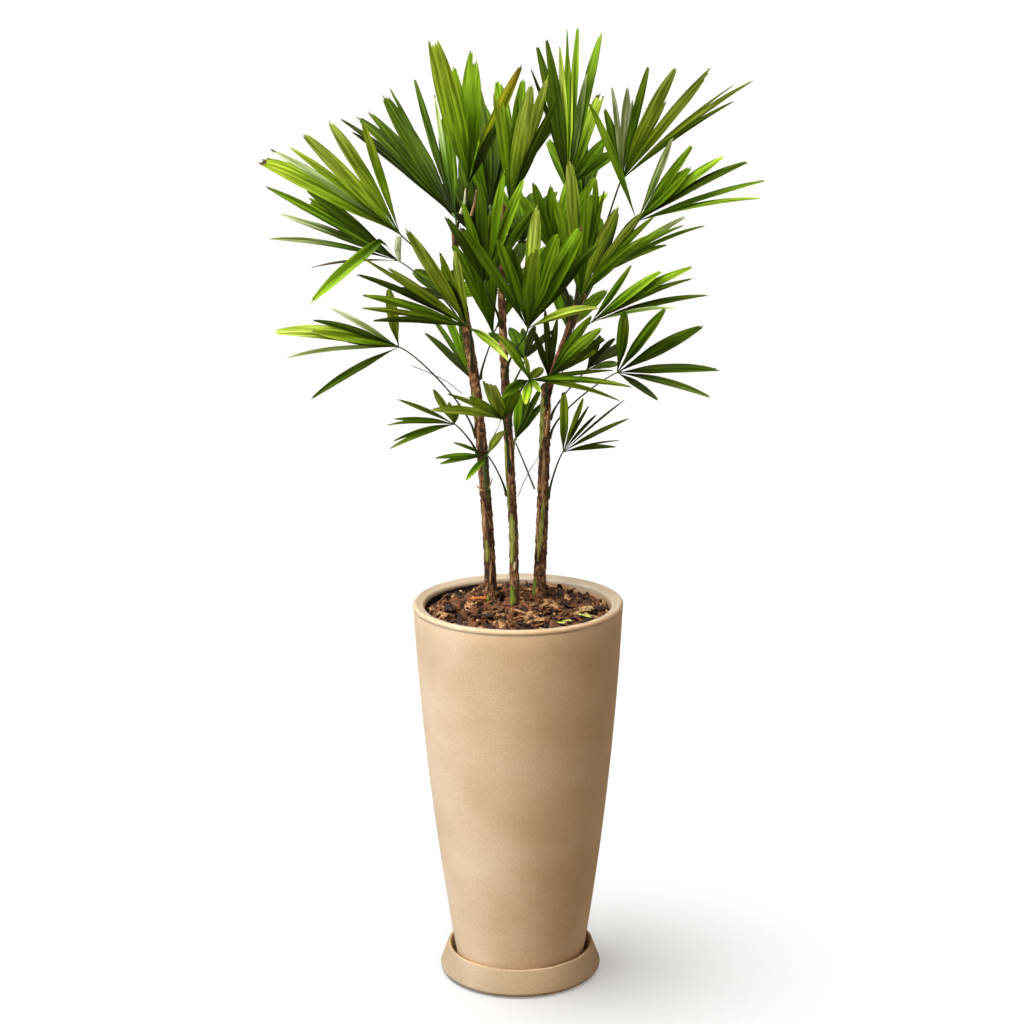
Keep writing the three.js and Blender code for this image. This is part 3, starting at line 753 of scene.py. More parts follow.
# The other fans: how light their leaflets are on the whole, as a place among the first five tints.
# This lightness is partly painted light: fans turned away from the lamps are given lighter tints.
fanLight = {
    "left": {5: 2.4, 9: 0.7, 10: 0.9, 11: 1.2},
    "middle": {1: 1, 7: 1, 8: 1.8, 9: 1.2, 10: 1.9, 11: 1.8, 12: 1.2},
    "right": {8: 1, 11: 1, 12: 1.5, 13: 2.8, 14: 1.9},
}
# Tips of their own: cane, frond, leaflet, then how blunt, and how far each fold reaches.
cutTips = {
    ("left", 1, 0): (0.42, (1, 0.985, 0.99, 0.97)),
    ("left", 2, 2): (0.75, (1, 0.98, 0.99, 1)),
    ("left", 4, 0): (0.46, (1, 0.975, 0.985, 1)),
    ("left", 4, 2): (0.4, (1, 0.985, 0.9, 0.92)),
    ("middle", 3, 5): (0.5, (0.96, 1, 0.985, 0.95)),
    ("middle", 3, 8): (0.42, (0.93, 1, 0.95)),
    ("middle", 5, 3): (0.85, (1, 0.98, 1, 0.97)),
    ("right", 1, 9): (0.6, (0.97, 0.92, 1, 0.98)),
    ("right", 2, 7): (0.45, (1, 0.96, 0.9)),
    ("right", 6, 2): (0.5, (1, 0.86, 0.97, 0.99)),
}
# A leaflet creased near its foot: how far along, how high the crease stands, and how narrow it is folded.
creased = {("left", 2, 8): (0.17, 42, 0.95)}


class Bundle:
    # Gathers many small shells and tubes into one mesh.
    def __init__(self):
        self.points, self.faces, self.tints, self.along, self.spread = [], [], [], [], []
        self.count = 0

    def add(self, points, faces, tint, along, spread=None):
        self.points.append(np.asarray(points))
        self.faces += [tuple(i + self.count for i in face) for face in faces]
        self.tints += tint if isinstance(tint, list) else [tint] * len(faces)
        self.along.append(np.asarray(along))
        self.spread.append(np.zeros((len(points), 2)) if spread is None else spread)
        self.count += len(points)

    def mesh(self, name, materials, sharpFrom=60):
        mesh = makeMesh(name, np.concatenate(self.points), self.faces, materials, self.tints, sharpFrom)
        mesh.attributes.new("along", "FLOAT", "POINT").data.foreach_set("value", np.concatenate(self.along))
        corners = np.zeros(len(mesh.loops), int)
        mesh.loops.foreach_get("vertex_index", corners)
        spread = np.concatenate(self.spread)[corners] * mm
        mesh.uv_layers.new(name="blade").data.foreach_set("uv", spread.ravel())
        return mesh


def bladeWidth(stations, full, late, blunt):
    # Share of the full width: narrow at the hub, full past the middle, and blunt at the tip.
    rise = np.clip(stations / full, 0, 1)
    fall = np.clip((stations - late) / (1 - late), 0, 1)
    foot, curve = leafLook["foot"], leafLook["tipCurve"]
    return (foot + (1 - foot) * rise * rise * (3 - 2 * rise)) * (1 - (1 - blunt) * fall**curve)


def fineBlade(centre, leaf, own, cut, crease):
    # Top points of a pleated blade whose tip is cut into teeth, the way its face looks, and the place of
    # each point along the blade and across it.
    look = leafLook
    way, side, face = (np.array(v) for v in bladeFrame(leaf))
    beside = np.array(direction(leaf["sweep"] + leaf["turning"], leaf["lean"])) - way
    beside /= np.linalg.norm(beside)
    long, wide, stray = leaf["long"], leaf["wide"], leaf.get("stray", False)
    folds = len(cut[1]) if cut else int(np.clip(round(wide / look["foldWidth"]), *look["folds"]))
    across = np.linspace(-1, 1, folds * look["perFold"] + 1)
    spot = (across + 1) / 2 * folds
    fold = np.minimum(spot.astype(int), folds - 1)
    before = np.maximum(np.ceil(spot).astype(int) - 1, 0)
    ridge = 1 - np.abs(2 * (spot - fold) - 1)
    reach = np.array([1 - own.uniform(0, look["uneven"]) for _ in range(folds)])
    reach -= look["outerShort"] * np.abs(np.linspace(-1, 1, folds))
    reach = np.array(cut[1]) if cut else reach + 1 - reach.max()
    blunt = np.interp(wide, (look["narrow"], look["broad"]), look["blunt"])
    blunt += own.uniform(-1, 1) * look["spread"]
    blunt = cut[0] if cut else blunt
    notch = own.uniform(*look["notch"]) * (1 - ridge) ** look["notchCurve"]
    ends = np.minimum(reach[fold], reach[before]) - notch
    stations = np.array(look["stations"])
    line, low = stations[:, None], look["notchFrom"]
    along = np.where(line < low, line, low + (line - low) / (1 - low) * (ends - low))
    full, late = own.uniform(*look["full"]), own.uniform(*look["late"])
    half = bladeWidth(stations, full, late, blunt)[:, None] * wide / 2 * crease[2]
    ease = np.clip(line / look["veeEase"], 0, 1)
    steep, slack = look["strayVee" if stray else "vee"]
    vee = np.radians(steep + (slack - steep) * ease * ease * (3 - 2 * ease))
    height = (ridge - 0.5) * look["pleat"] * 2 * half / folds - (1 - np.abs(across)) * half * np.tan(vee)
    roll = math.radians(own.uniform(-look["roll"], look["roll"])) * line[..., None]
    sides = side * np.cos(roll) + face * np.sin(roll)
    looks = face * np.cos(roll) - side * np.sin(roll)
    arch = (2 * leaf["place"] - 1) * look["arch"] + own.uniform(-look["archWaver"], look["archWaver"])
    droop = own.uniform(*look["strayDroop" if stray else "droop"])
    line = along[..., None]
    middle = np.array(centre) + way * long * line + beside * long * arch * (line**2 - line)
    middle[..., 2] -= long * (dropOf(Vector(way)) * along**2 + droop * (along**3 - along))
    middle[..., 2] += crease[1] * np.interp(along, (0, crease[0], 1), (0, 1, 0))
    top = middle + sides * (across * half)[..., None] + looks * height[..., None]
    spread = np.stack(np.broadcast_arrays(across * half, along * long), -1)
    return top, looks, along, spread


def addBlade(bundle, centre, leaf, tint, own, key):
    cut, crease = cutTips.get(key), creased.get(key, (0.5, 0, 1))
    top, looks, along, spread = fineBlade(centre, leaf, own, cut, crease)
    faces = shellFaces(*along.shape)
    places = shellRows(along, along)
    dryFrom = own.uniform(*leafLook["dryFrom"])
    if not tint.isupper() and own.random() > leafLook["dryShare"]:
        dryFrom = 2
    skin = tintNames.index(tint.lower())
    tints = [len(tintNames) if places[list(face)].min() > dryFrom else skin for face in faces]
    # each blade has its own stretch of the vein and pleat-shade pattern
    spread[..., 0] += own.randrange(veinsAndPleatShade["stretches"]) * veinsAndPleatShade["apart"]
    points = shellRows(top, top - looks * leafLook["thickness"])
    bundle.add(points, faces, tints, places, shellRows(spread, spread))


def addFronds():
    for cane in canes:
        bundle = Bundle()
        grown = [frond for frond in plan if frond["cane"] == cane]
        for frond in grown:
            own = random.Random(frond["number"] * leafLook["seed"])
            order = frond["order"]
            for leaf in frond["leaves"]:
                if order in fanTints[cane]:
                    tint = fanTints[cane][order][leaf["index"]]
                else:
                    light = fanLight[cane][order] + own.gauss(0, leafLook["tintSpread"])
                    tint = tintNames[int(np.clip(round(light), 0, 4))]
                addBlade(bundle, frond["centre"], leaf, tint, own, (cane, order, leaf["index"]))
        nodes = [frond["name"] for frond in grown]
        addPiece(bundle.mesh("leaves_" + cane, leafMaterials), nodes)


addFronds()
print("leaflets")


# Leaf stalks: tough and smooth, dark green, partly their own colour and partly painted shade from the crown,
# with a dry brown foot.
def stalkMaterial():
    material, tree, shader = newMaterial("leafStalk", {"Roughness": 0.5, "IOR": 1.45})
    along = addNode(tree, "ShaderNodeAttribute", attribute_name="along").outputs["Fac"]
    stops = [(0, "#4a3018"), (0.1, "#2b3610"), (0.6, "#2c3f10"), (1, "#466414")]
    dress(tree, shader, addNode(tree, "ShaderNodeValToRGB", {"Fac": along}, stops=stops).outputs["Color"])
    return material


# The stalk ends in a knob at the hub: how far past it, and how thick beside the stalk's end.
stalkLook = {"steps": 22, "sides": 8, "flare": 1.1, "flareLength": 12, "sink": 1.6}
stalkLook |= {"knob": ((3, 1.9), (6, 1.6), (9, 0.5))}


def addTube(bundle, path, level, sizes, sides, tint=0):
    # path: points and ways; sizes: half width and half depth at each.
    rings = []
    for (point, way), (w, d) in zip(path, sizes):
        side, face = (np.array(v) for v in stalkFrame(way, level))
        turns = np.arange(sides) * math.tau / sides
        rings.append(np.array(point) + np.outer(np.cos(turns) * w, side) + np.outer(np.sin(turns) * d, face))
    along = np.repeat(np.linspace(0, 1, len(rings)), sides)
    bundle.add(np.concatenate(rings), tubeFaces(len(rings), sides), tint, along)


def addStalks():
    look, material = stalkLook, stalkMaterial()
    for cane in canes:
        bundle = Bundle()
        for frond in (f for f in plan if f["cane"] == cane):
            centre, aim = frond["centre"], frond["aim"]
            path, level = stalkPath(frond["seat"], centre, aim, look["steps"])
            start, way = path[0]
            run, sizes = 0, []
            for i, (point, _) in enumerate(path):
                run += (point - path[max(i - 1, 0)][0]).length
                taper = 1 - stalkSize["taper"] * i / look["steps"]
                flare = 1 + look["flare"] * math.exp(-run / look["flareLength"])
                sizes.append([stalkSize[key] * taper * flare / 2 for key in ("width", "depth")])
            out = Vector((centre.x - start.x, centre.y - start.y, 0)).normalized()
            path[0] = (start - out * look["sink"], way)
            w, d = sizes[-1]
            for far, grow in look["knob"]:
                path.append((centre + aim * far, aim))
                sizes.append((w * grow, d * grow))
            addTube(bundle, path, level, sizes, look["sides"])
        addPiece(bundle.mesh("stalks_" + cane, [material]))


addStalks()
shareLight("crownLight", [o for o in bpy.data.objects if o.name.startswith(("leaves_", "stalks_"))])
print("stalks")


# Cane bark: a dry brown net of old sheath fibres, with tan threads and dark gaps.
def barkMaterial():
    material, tree, shader = newMaterial("netFibreBark", {"Roughness": 0.85})
    stops = [(0.34, "#2a1a0e"), (0.46, "#6b4426"), (0.56, "#96683c"), (0.68, "#d2a878")]
    # colour and relief come from one noise, so the bark is darkest where the relief sinks, between the
    # threads
    thread, relief = clouded(tree, 3.4, 4, stops, 0.35)
    patch, _ = clouded(tree, 38, 2, [(0.38, "#8a7a66"), (0.6, "#ffffff")])
    both = addNode(tree, "ShaderNodeMix", {0: 1, 6: thread, 7: patch}, **multiply)
    dress(tree, shader, both.outputs[2], relief, 0.7, 1)
    return material


barkLook = {
    "around": 48, "step": 1.9, "ease": 14, "easeSteps": 9, "buried": 12,
    "lump": 0.8, "lumpSize": 4.2, "lumpSquash": 0.8, "fibre": 0.6, "fibreSize": (1.5, 12), "slimBelow": 7,
    "ringEvery": 27, "ringStep": 1.2, "ringSlant": 5, "slantTurns": 60,
    "ringShift": {"left": 0.2, "middle": 0.5, "right": 0},
    "out": {"left": 0.4, "middle": 0.3, "right": 0.8},
}


def smoothCane(cane):
    # Heights, middles and radii of a cane whose bends are eased.
    look, points = barkLook, np.array(canes[cane], float)
    heights = np.arange(points[0, 2] - look["buried"], points[-1, 2] + 0.1, look["step"])
    ease = np.linspace(-look["ease"], look["ease"], look["easeSteps"])
    table = []
    for k in (0, 1, 3):
        table.append(np.mean([np.interp(heights + e, points[:, 2], points[:, k]) for e in ease], axis=0))
    foot = np.clip(1 - (heights - points[0, 2]) / caneSolid["flareHeight"], 0, 1)
    table[2] = table[2] * (1 + (caneSolid["flare"] - 1) * foot)
    return heights, table


def barkLift(cane, angle, height, radius):
    # How far the bark stands out of the plain cane: uneven rings, lumps and fibres, less where it is slim.
    look = barkLook
    slanted = height + look["ringSlant"] * math.sin(angle + height / look["slantTurns"])
    ring = slanted / look["ringEvery"] + look["ringShift"][cane]
    x, y = math.cos(angle) * radius, math.sin(angle) * radius
    lump = noise.noise(Vector((x, y, height * look["lumpSquash"])) / look["lumpSize"])
    thin, long = look["fibreSize"]
    fibre = noise.noise(Vector((x / thin, y / thin, height / long + 50)))
    slim = min(1, radius / look["slimBelow"])
    step = (0.5 - ring % 1) * look["ringStep"]
    return (look["lump"] * lump + look["fibre"] * fibre + step + look["out"][cane]) * slim


def addCanes():
    material = barkMaterial()
    around = barkLook["around"]
    for cane in canes:
        heights, (xs, ys, radii) = smoothCane(cane)
        points = []
        for x, y, z, radius in zip(xs, ys, heights, radii):
            for angle in (math.tau * i / around for i in range(around)):
                full = radius + barkLift(cane, angle, z, radius)
                points.append(onRing(full, angle, z, x, y))
        faces = tubeFaces(len(heights), around)
        mesh = makeMesh("bark_" + cane, points, faces, [material], sharpFrom=75)
        addPiece(mesh, ["cane_" + cane])


addCanes()


# What is left of old leaf sheaths: dry papery strips and threads, and living green where they have gone.
def sheathMaterial(name, low, high, roughness):
    material, tree, shader = newMaterial(name, {"Roughness": roughness})
    dress(tree, shader, clouded(tree, 2.4, 3, [(0.36, low), (0.62, high)], 0.15)[0])
    return material


sheathTints = {
    "tan": ("#7d5631", "#d0a675", 0.85),
    "green": ("#62661f", "#a6a850", 0.6),
    "moss": ("#2c350f", "#5e6628", 0.7),
    "foot": ("#4c6214", "#8a9c30", 0.6),
    "rust": ("#4a2a12", "#8e5228", 0.85),
    "pale": ("#8f9a60", "#e2e4c0", 0.6),
}
# Strips on the canes: cane, tint, lower and upper end, the angle at each (-90 in front, 180 at the left),
# half the width.
strips = [
    ("left", "foot", 630, 644, -125, -125, 2.8),
    ("left", "tan", 664, 702, -95, -75, 1.6),
    ("left", "green", 700, 738, -112, -108, 3.8),
    ("left", "tan", 735, 802, -128, -118, 2.8),
    ("left", "moss", 800, 876, -60, -64, 5.6),
    ("left", "tan", 812, 850, -140, -128, 1.6),
    ("left", "tan", 885, 926, -135, -100, 1.8),
    ("left", "green", 932, 985, -130, -118, 3),
    ("middle", "foot", 633, 668, -110, -110, 4.6),
    ("middle", "pale", 692, 708, -85, -80, 1.9),
    ("middle", "green", 705, 788, -115, -105, 5.2),
    ("middle", "green", 790, 840, -140, -134, 2.6),
    ("middle", "green", 841, 907, -150, -140, 3.2),
    ("middle", "tan", 862, 900, -80, -72, 1.4),
    ("right", "foot", 633, 670, -150, -146, 4.6),
    ("right", "green", 697, 803, -117, -80, 3.4),
    ("right", "tan", 735, 800, -142, -136, 2.6),
    ("right", "tan", 803, 880, -95, -92, 2.7),
    ("right", "green", 881, 971, -140, -130, 4.4),
    ("right", "tan", 905, 948, -80, -60, 1.5),
    ("right", "rust", 985, 1046, -120, -100, 4),
    ("right", "rust", 1052, 1186, -100, -80, 2.6),
]
stripLook = {"every": 5, "columns": 6, "rim": 0.9, "swell": (1.5, -0.8), "ragged": (0.75, 1.12), "end": 0.25}


def stripPoints(strip, own):
    # The outer and inner points of a closed lens that follows the cane.
    cane, _, low, high, first, last, half = strip
    look, (heights, path) = stripLook, smoothCane(cane)
    rows = max(4, round((high - low) / look["every"]))
    across = np.linspace(-1, 1, look["columns"])
    grids = np.zeros((2, rows, look["columns"], 3))
    for r in range(rows):
        t = r / (rows - 1)
        z = low + (high - low) * t
        x, y, radius = (np.interp(z, heights, row) for row in path)
        narrowed = look["end"] + (1 - look["end"]) * min(1, 5 * t, 5 * (1 - t))  # over a fifth at each end
        width = half * own.uniform(*look["ragged"]) * narrowed
        angles = math.radians(first + (last - first) * t) + across * width / radius
        for grid, swell in zip(grids, look["swell"]):
            far = radius + look["rim"] + swell * (1 - across**2)
            grid[r, :, 0], grid[r, :, 1] = x + far * np.cos(angles), y + far * np.sin(angles)
            grid[r, :, 2] = z + own.uniform(-1, 1) * (0 < r < rows - 1)
    return grids


# Loose threads, dry stalk ends and torn sheath bits: tint, half width at each end, then points.
threads = [
    ("tan", 1.5, 1.0, [(-65, 20, 827), (-60, 15, 822), (-53, 13, 820), (-45, 15, 824), (-40, 18, 841)]),
    ("moss", 0.7, 0.6, [(-167, 27, 1023), (-142, 22, 1014), (-113, 24, 999), (-86, 20, 978)]),
    ("moss", 0.7, 0.5, [(1, -7, 815), (10, -6, 838), (22, 2, 860), (36, 6, 878), (45, 8, 888)]),
    ("moss", 1.5, 1.1, [(28, 20, 821), (14, 8, 860), (-2, -6, 903)]),
    ("tan", 0.9, 0.5, [(-40, 12, 905), (-28, 6, 930), (-24, 4, 952)]),
    ("rust", 1.0, 0.5, [(58, 30, 990), (78, 18, 1020), (90, 8, 1062)]),
    ("rust", 0.9, 0.4, [(66, 30, 1000), (92, 22, 1040), (112, 14, 1092)]),
    ("tan", 0.8, 0.4, [(80, 32, 1052), (104, 26, 1110), (112, 22, 1150)]),
    ("pale", 4.6, 5.4, [(-180, -62, 1241), (-181, -63, 1232), (-182, -63, 1222)]),
    ("pale", 5.4, 2.2, [(-182, -63, 1222), (-181, -62, 1212), (-179, -62, 1203)]),
    ("pale", 3.6, 1.2, [(-84, -64, 1275), (-78, -66, 1292), (-76, -66, 1314)]),
    ("tan", 2.6, 0.8, [(-68, -64, 1272), (-63, -66, 1290), (-60, -64, 1312)]),
    ("tan", 2.2, 1.2, [(-22, -16, 1228), (-20, -18, 1258), (-21, -18, 1288)]),
]
threadLook = {"sides": 6, "flat": 0.6, "level": Vector((1, 0, 0.2))}


def addSheaths():
    own = random.Random(17)
    names = list(sheathTints)
    materials = [sheathMaterial(name + "Sheath", *sheathTints[name]) for name in names]
    bundle = Bundle()
    for strip in strips:
        grids = stripPoints(strip, own)
        points = shellRows(*grids)
        faces = [face[::-1] for face in shellFaces(*grids.shape[1:3])]
        bundle.add(points, faces, names.index(strip[1]), np.zeros(len(points)))
    for tint, first, last, points in threads:
        points = [Vector(point) for point in points]
        ends = list(zip(points, points[1:]))
        ways = [(b - a).normalized() for a, b in ends]
        ways = [ways[0], *[(a + b).normalized() for a, b in zip(ways, ways[1:])], ways[-1]]
        look, path = threadLook, list(zip(points, ways))
        halves = [(half, half * look["flat"]) for half in np.linspace(first, last, len(points))]
        addTube(bundle, path, look["level"], halves, look["sides"], names.index(tint))
    addPiece(bundle.mesh("sheaths", materials, 75))


addSheaths()
print("canes")


# Potting soil under the chips: damp and dark, and made nearly black as painted shade in the gaps between the
# chips.
mulch = {
    "wall": 614, "shoulder": 622, "shoulderWidth": 22, "flat": 626, "flatRadius": 110,
    "gap": 0.9, "slope": 6, "heap": (8, 62), "heapWidth": 66, "heapHeight": 9, "bottom": 560,
    "rings": 60, "sides": 120, "rough": ((9, 2.6), (3.5, 1.4)), "sunk": 3, "soilGap": 0.5, "dip": 2,
}
# A dark sheet of soil on the pot's inner wall at the back and left, painted shade where the wall lies in
# shadow: angles, heights, depths from the wall.
wallShadeSheet = {"rows": 7, "columns": 40, "from": 96, "turn": 104, "foot": 602, "rim": 629, "top": 616}
wallShadeSheet |= {"bulge": 15, "slopes": (5, 3), "ragged": 2, "waves": 30, "depths": (-0.3, 1.3)}


def mulchHeight(x, y):
    edge = potRadius(mulch["wall"]) - pot["wall"] - mulch["gap"] - mulch["slope"]
    stops = [mulch["flatRadius"], edge - mulch["shoulderWidth"] + mulch["slope"], edge]
    plain = np.interp(math.hypot(x, y), stops, [mulch["flat"], mulch["shoulder"], mulch["wall"]])
    far = ((x - mulch["heap"][0]) ** 2 + (y - mulch["heap"][1]) ** 2) / mulch["heapWidth"] ** 2
    return float(plain) + mulch["heapHeight"] * math.exp(-far)


def mound(edge, rings, sides, middle, heightAt):
    # Points and faces of a round heap, from its middle outwards.
    points, faces = [(0, 0, middle)], []
    for ring in range(1, rings + 1):
        radius = edge * ring / rings
        here, inner = 1 + (ring - 1) * sides, 1 + (ring - 2) * sides
        for i in range(sides):
            k = (i + 1) % sides
            x, y, _ = onRing(radius, math.tau * i / sides, 0)
            points.append((x, y, heightAt(x, y)))
            faces.append((inner + i, here + i, here + k, inner + k) if ring > 1 else (0, here + i, here + k))
    return points, faces


def addSoil():
    def roughHeight(x, y):
        (coarse, high), (fine, low) = mulch["rough"]
        clods = noise.noise(Vector((x, y, 0)) / coarse) * high
        crumbs = noise.noise(Vector((x, y, 9)) / fine) * low
        return mulchHeight(x, y) - mulch["sunk"] + (clods + crumbs)

    soil, _, _ = newMaterial("pottingSoil", {"Base Color": fromHex("#160c06"), "Roughness": 0.95})
    edge = potRadius(mulch["wall"]) - pot["wall"] - mulch["soilGap"]
    sides = mulch["sides"]
    points, faces = mound(edge, mulch["rings"], sides, mulch["flat"] - mulch["dip"], roughHeight)
    top = len(points)
    points += [(x, y, mulch["bottom"]) for x, y, _ in points[-sides:]]
    for i in range(sides):
        k = (i + 1) % sides
        faces.append((top - sides + i, top + i, top + k, top - sides + k))
    faces.append(tuple(reversed(range(top, top + sides))))
    addPiece(makeMesh("mulch_soil", points, faces, [soil]), ["mulch"])
    # the painted shade: a thin dark soil sheet against the inner wall at the back and left
    rows, columns = wallShadeSheet["rows"], wallShadeSheet["columns"]
    grids = np.zeros((2, rows, columns, 3))
    lipFoot = pot["rim"] - pot["brim"] + pot["lip"] * (1 + math.cos(math.radians(pot["brimArc"][1])))
    walls = (potRadius(wallShadeSheet["foot"]) - pot["wall"], lipFoot)
    for r in range(rows):
        for c in range(columns):
            t, s = r / (rows - 1), c / (columns - 1)
            angle = math.radians(wallShadeSheet["from"] + wallShadeSheet["turn"] * s)
            first, last = wallShadeSheet["slopes"]
            upper = wallShadeSheet["top"] + wallShadeSheet["bulge"] * min(1, first * s, last * (1 - s))
            upper -= wallShadeSheet["ragged"] * noise.noise(Vector((s * wallShadeSheet["waves"], 0, 0)))
            z = wallShadeSheet["foot"] + (upper - wallShadeSheet["foot"]) * t
            wall = np.interp(z, (wallShadeSheet["foot"], wallShadeSheet["rim"]), walls)
            for grid, depth in zip(grids, wallShadeSheet["depths"]):
                grid[r, c] = onRing(wall - depth, angle, z)
    addPiece(makeMesh("mulch_cling", shellRows(*grids), shellFaces(rows, columns), [soil]))


addSoil()


def shapeCollection(name, meshes):
    kept = bpy.data.collections.new(name)
    bpy.context.scene.collection.children.link(kept)
    for i, mesh in enumerate(meshes):
        kept.objects.link(bpy.data.objects.new(f"{name}{i}", mesh))
    return kept


def scatterTree(name, shapes, material):
    # Strews turned, scaled copies of some shapes over a ground mesh.
    tree = bpy.data.node_groups.new(name, "GeometryNodeTree")
    sizes = dict.fromkeys(("Smallest", "Largest", "Tilt", "Lift"), "Float")
    inputs = {"Ground": "Geometry", "Per Square Metre": "Float", "Seed": "Int", **sizes}
    for label, kind in inputs.items():
        tree.interface.new_socket(label, in_out="INPUT", socket_type="NodeSocket" + kind)
    tree.interface.new_socket("Strewn", in_out="OUTPUT", socket_type="NodeSocketGeometry")
    given = addNode(tree, "NodeGroupInput").outputs
    cast = {"Mesh": given["Ground"], "Density": given["Per Square Metre"], "Seed": given["Seed"]}
    spots = addNode(tree, "GeometryNodeDistributePointsOnFaces", cast).outputs
    kept = {"Collection": shapes, "Separate Children": True, "Reset Children": True}
    shape = addNode(tree, "GeometryNodeCollectionInfo", kept).outputs["Instances"]
    ends = {2: given["Smallest"], 3: given["Largest"], "Seed": given["Seed"]}
    size = addNode(tree, "FunctionNodeRandomValue", ends, data_type="FLOAT").outputs[1]
    ends = {0: (-1, -1, -1), 1: (1, 1, 1), "Seed": given["Seed"]}
    turn = addNode(tree, "FunctionNodeRandomValue", ends, data_type="FLOAT_VECTOR").outputs[0]
    copied = {"Points": spots["Points"], "Instance": shape, "Pick Instance": True}
    copied |= {"Rotation": spots["Rotation"], "Scale": size}
    copies = addNode(tree, "GeometryNodeInstanceOnPoints", copied).outputs["Instances"]
    most = addNode(tree, "ShaderNodeCombineXYZ", {"X": given["Tilt"], "Y": given["Tilt"], "Z": math.pi})
    lift = addNode(tree, "ShaderNodeCombineXYZ", {"Z": given["Lift"]})
    angles, raised = (
        addNode(tree, "ShaderNodeVectorMath", {0: turn, 1: node.outputs[0]}, operation="MULTIPLY").outputs[0]
        for node in (most, lift)
    )
    turned = {"Instances": copies, "Rotation": angles}
    turned = addNode(tree, "GeometryNodeRotateInstances", turned).outputs["Instances"]
    moved = {"Instances": turned, "Translation": raised, "Local Space": False}
    moved = addNode(tree, "GeometryNodeTranslateInstances", moved).outputs["Instances"]
    real = addNode(tree, "GeometryNodeRealizeInstances", {"Geometry": moved}).outputs["Geometry"]
    strewn = addNode(tree, "GeometryNodeSetMaterial", {"Geometry": real, "Material": material})
    addNode(tree, "NodeGroupOutput", {"Strewn": strewn.outputs["Geometry"]})
    return tree


def clearShapes(shapes):
    for shape in list(shapes.objects):
        bpy.data.objects.remove(shape)
    bpy.data.collections.remove(shapes)


def strew(name, ground, shapes, material, slot, many, seed, sizes, tilt, lift=0):
    host = addObject(name + "Host", ground)
    tree = scatterTree(name + "Tree", shapes, material)
    modifier = host.modifiers.new("Strew", "NODES")
    modifier.node_group = tree
    settings = {"Per Square Metre": float(many), "Seed": seed, "Smallest": sizes[0], "Largest": sizes[1]}
    settings |= {"Tilt": math.radians(tilt), "Lift": lift * mm}
    for item in tree.interface.items_tree:
        if item.in_out == "INPUT" and item.name in settings:
            modifier[item.identifier] = settings[item.name]
    graph = bpy.context.evaluated_depsgraph_get()
    mesh = bpy.data.meshes.new_from_object(host.evaluated_get(graph), depsgraph=graph)
    bpy.data.objects.remove(host)
    mesh.name = name
    addPiece(mesh)


# Shredded bark: split fibrous flakes and broken lumps in browns and tans. Each tint has its colour, then
# flakes and lumps per square metre.
# On top of the bark's own browns and tans, the dark tint is deepened as painted shade between the chips, and
# the tan and straw tints are lightened as painted highlights.
chipTints = {
    "dark": ("#3d210f", 2300, 1100),
    "brown": ("#7e4f27", 3700, 1700),
    "rust": ("#8c5228", 2500, 900),
    "tan": ("#c69661", 2200, 500),
    "straw": ("#dcb67c", 360, 40),
}
chipShapes = {
    "flake": {"length": (22, 44), "width": (7, 13), "thick": (2.6, 5.5), "count": 7},
    "lump": {"length": (10, 17), "width": (7, 11), "thick": (4.5, 7.5), "count": 5},
}
chipLook = {"rows": 6, "columns": 5, "rough": 0.3, "tilt": {"flake": 26, "lump": 80}, "lift": 5}
chipLook |= {"sizes": (0.6, 1.1), "edge": (0.75, 1.1), "end": 0.55, "waver": 0.12, "curl": 0.12}
chipLook |= {"bend": 0.1, "wring": 0.5, "bed": (16, 48), "short": 9}


def chipMaterial(name, code):
    material, tree, shader = newMaterial(name, {"Roughness": 0.85})
    grain, _ = clouded(tree, 2.6, 3, [(0.35, "#5f5044"), (0.62, "#ffffff")])
    both = addNode(tree, "ShaderNodeMix", {0: 1, 6: fromHex(code), 7: grain}, **multiply)
    dress(tree, shader, both.outputs[2])
    return material


def chipMesh(name, number):
    # A broken chip: a shell with uneven edges, rough faces and a bend and a twist of its own.
    own, look = random.Random(number * 7 + len(name)), chipLook
    rows, columns = look["rows"], look["columns"]
    long, wide, thick = (own.uniform(*chipShapes[name][key]) for key in ("length", "width", "thick"))
    bend, curl, wring = (own.uniform(-1, 1) for _ in range(3))
    grids = np.zeros((2, rows, columns, 3))
    for r in range(rows):
        t = 2 * r / (rows - 1) - 1
        half = wide / 2 * own.uniform(*look["edge"]) * (look["end"] if abs(t) == 1 else 1)
        for c in range(columns):
            s = 2 * c / (columns - 1) - 1
            x = long / 2 * t * (1 + own.uniform(-look["waver"], look["waver"]))
            y = half * s + curl * look["curl"] * long * t * t
            z = bend * look["bend"] * long * (1 - t * t) + wring * look["wring"] * t * half * s
            for grid, swell in zip(grids, (0.5, -0.5)):
                rough = own.uniform(-1, 1) * look["rough"]
                grid[r, c] = (x, y, z + thick * (swell * (1 - s**4) + 0.5 * rough))
    return makeMesh(f"{name}{number}", shellRows(*grids), shellFaces(rows, columns), [], sharpFrom=35)


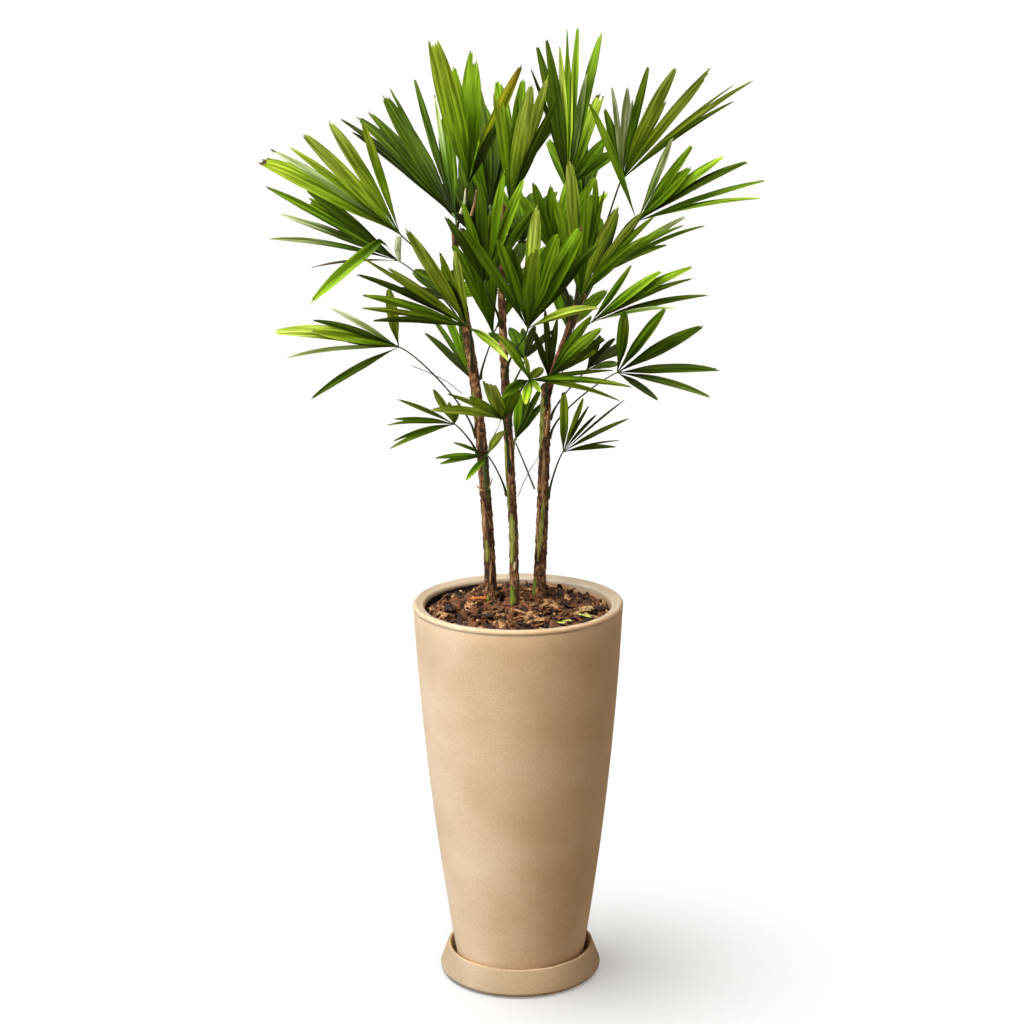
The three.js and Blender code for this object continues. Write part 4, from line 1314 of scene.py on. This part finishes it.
def addChips():
    # The chips lie on the mound's upper side alone, a little higher than the soil.
    edge = potRadius(mulch["wall"]) - pot["wall"] - chipLook["short"]
    bed = mound(edge, *chipLook["bed"], mulch["flat"], mulchHeight)
    ground = makeMesh("chipBed", *bed, [])
    seed = 3
    for column, name in enumerate(chipShapes, 1):
        meshes = [chipMesh(name, n) for n in range(chipShapes[name]["count"])]
        shapes = shapeCollection(name + "Shape", meshes)
        laid = {"sizes": chipLook["sizes"], "tilt": chipLook["tilt"][name], "lift": chipLook["lift"]}
        for tint, given in chipTints.items():
            seed += 1
            bark = bpy.data.materials.get(tint + "Bark") or chipMaterial(tint + "Bark", given[0])
            strew(f"{name}s_{tint}", ground, shapes, bark, "mulch", given[column], seed, **laid)
        clearShapes(shapes)


# Scraps of fallen leaf among the chips: where each lies, its turn in degrees, its size beside a flake's.
leafScraps = {
    "lime": ("#d9e070", [(76, -100, 20, 0.5), (69, -104, -25, 0.45), (106, -66, -28, 0.7)]),
    "amber": ("#e0882c", [(-64, 16, 8, 0.8)]),
}
scrapLift = 10


def addScraps():
    for tint, (code, scraps) in leafScraps.items():
        points, faces = [], []
        for number, (x, y, turn, size) in enumerate(scraps):
            chip = chipMesh("flake", number)
            first = len(points)
            spin = Matrix.Rotation(math.radians(turn), 3, "Z") * size
            place = Vector((x, y, mulchHeight(x, y) + scrapLift))
            points += [spin @ (vertex.co / mm) + place for vertex in chip.vertices]
            faces += [[first + i for i in face.vertices] for face in chip.polygons]
        mesh = makeMesh("scraps_" + tint, points, faces, [chipMaterial(tint + "Leaf", code)])
        addPiece(mesh)


addChips()
addScraps()
print("mulch")

# Broken ends of sheath fibre that stand out of the bark.
bristle = {"length": 4.6, "root": 0.5, "radius": 0.42, "lean": 0.6, "sizes": (0.5, 1.3), "tilt": 55}
bristle |= {"many": 15000}


def addBristles():
    look = bristle
    foot = [onRing(look["radius"], math.tau * i / 3, -look["root"]) for i in range(3)]
    faces = [(2, 1, 0), (0, 1, 3), (1, 2, 3), (2, 0, 3)]
    shape = makeMesh("bristle", [*foot, (look["lean"], 0, look["length"])], faces, [])
    shapes = shapeCollection("bristleShape", [shape])
    fibre, _, _ = newMaterial("dryFibre", {"Base Color": fromHex("#a98458"), "Roughness": 0.85})
    for seed, cane in enumerate(canes, 31):
        bark = bpy.data.objects["bark_" + cane].data
        laid = {"many": look["many"], "seed": seed, "sizes": look["sizes"], "tilt": look["tilt"]}
        strew("bristles_" + cane, bark, shapes, fibre, "cane", **laid)
    clearShapes(shapes)


addBristles()
print("bristles")
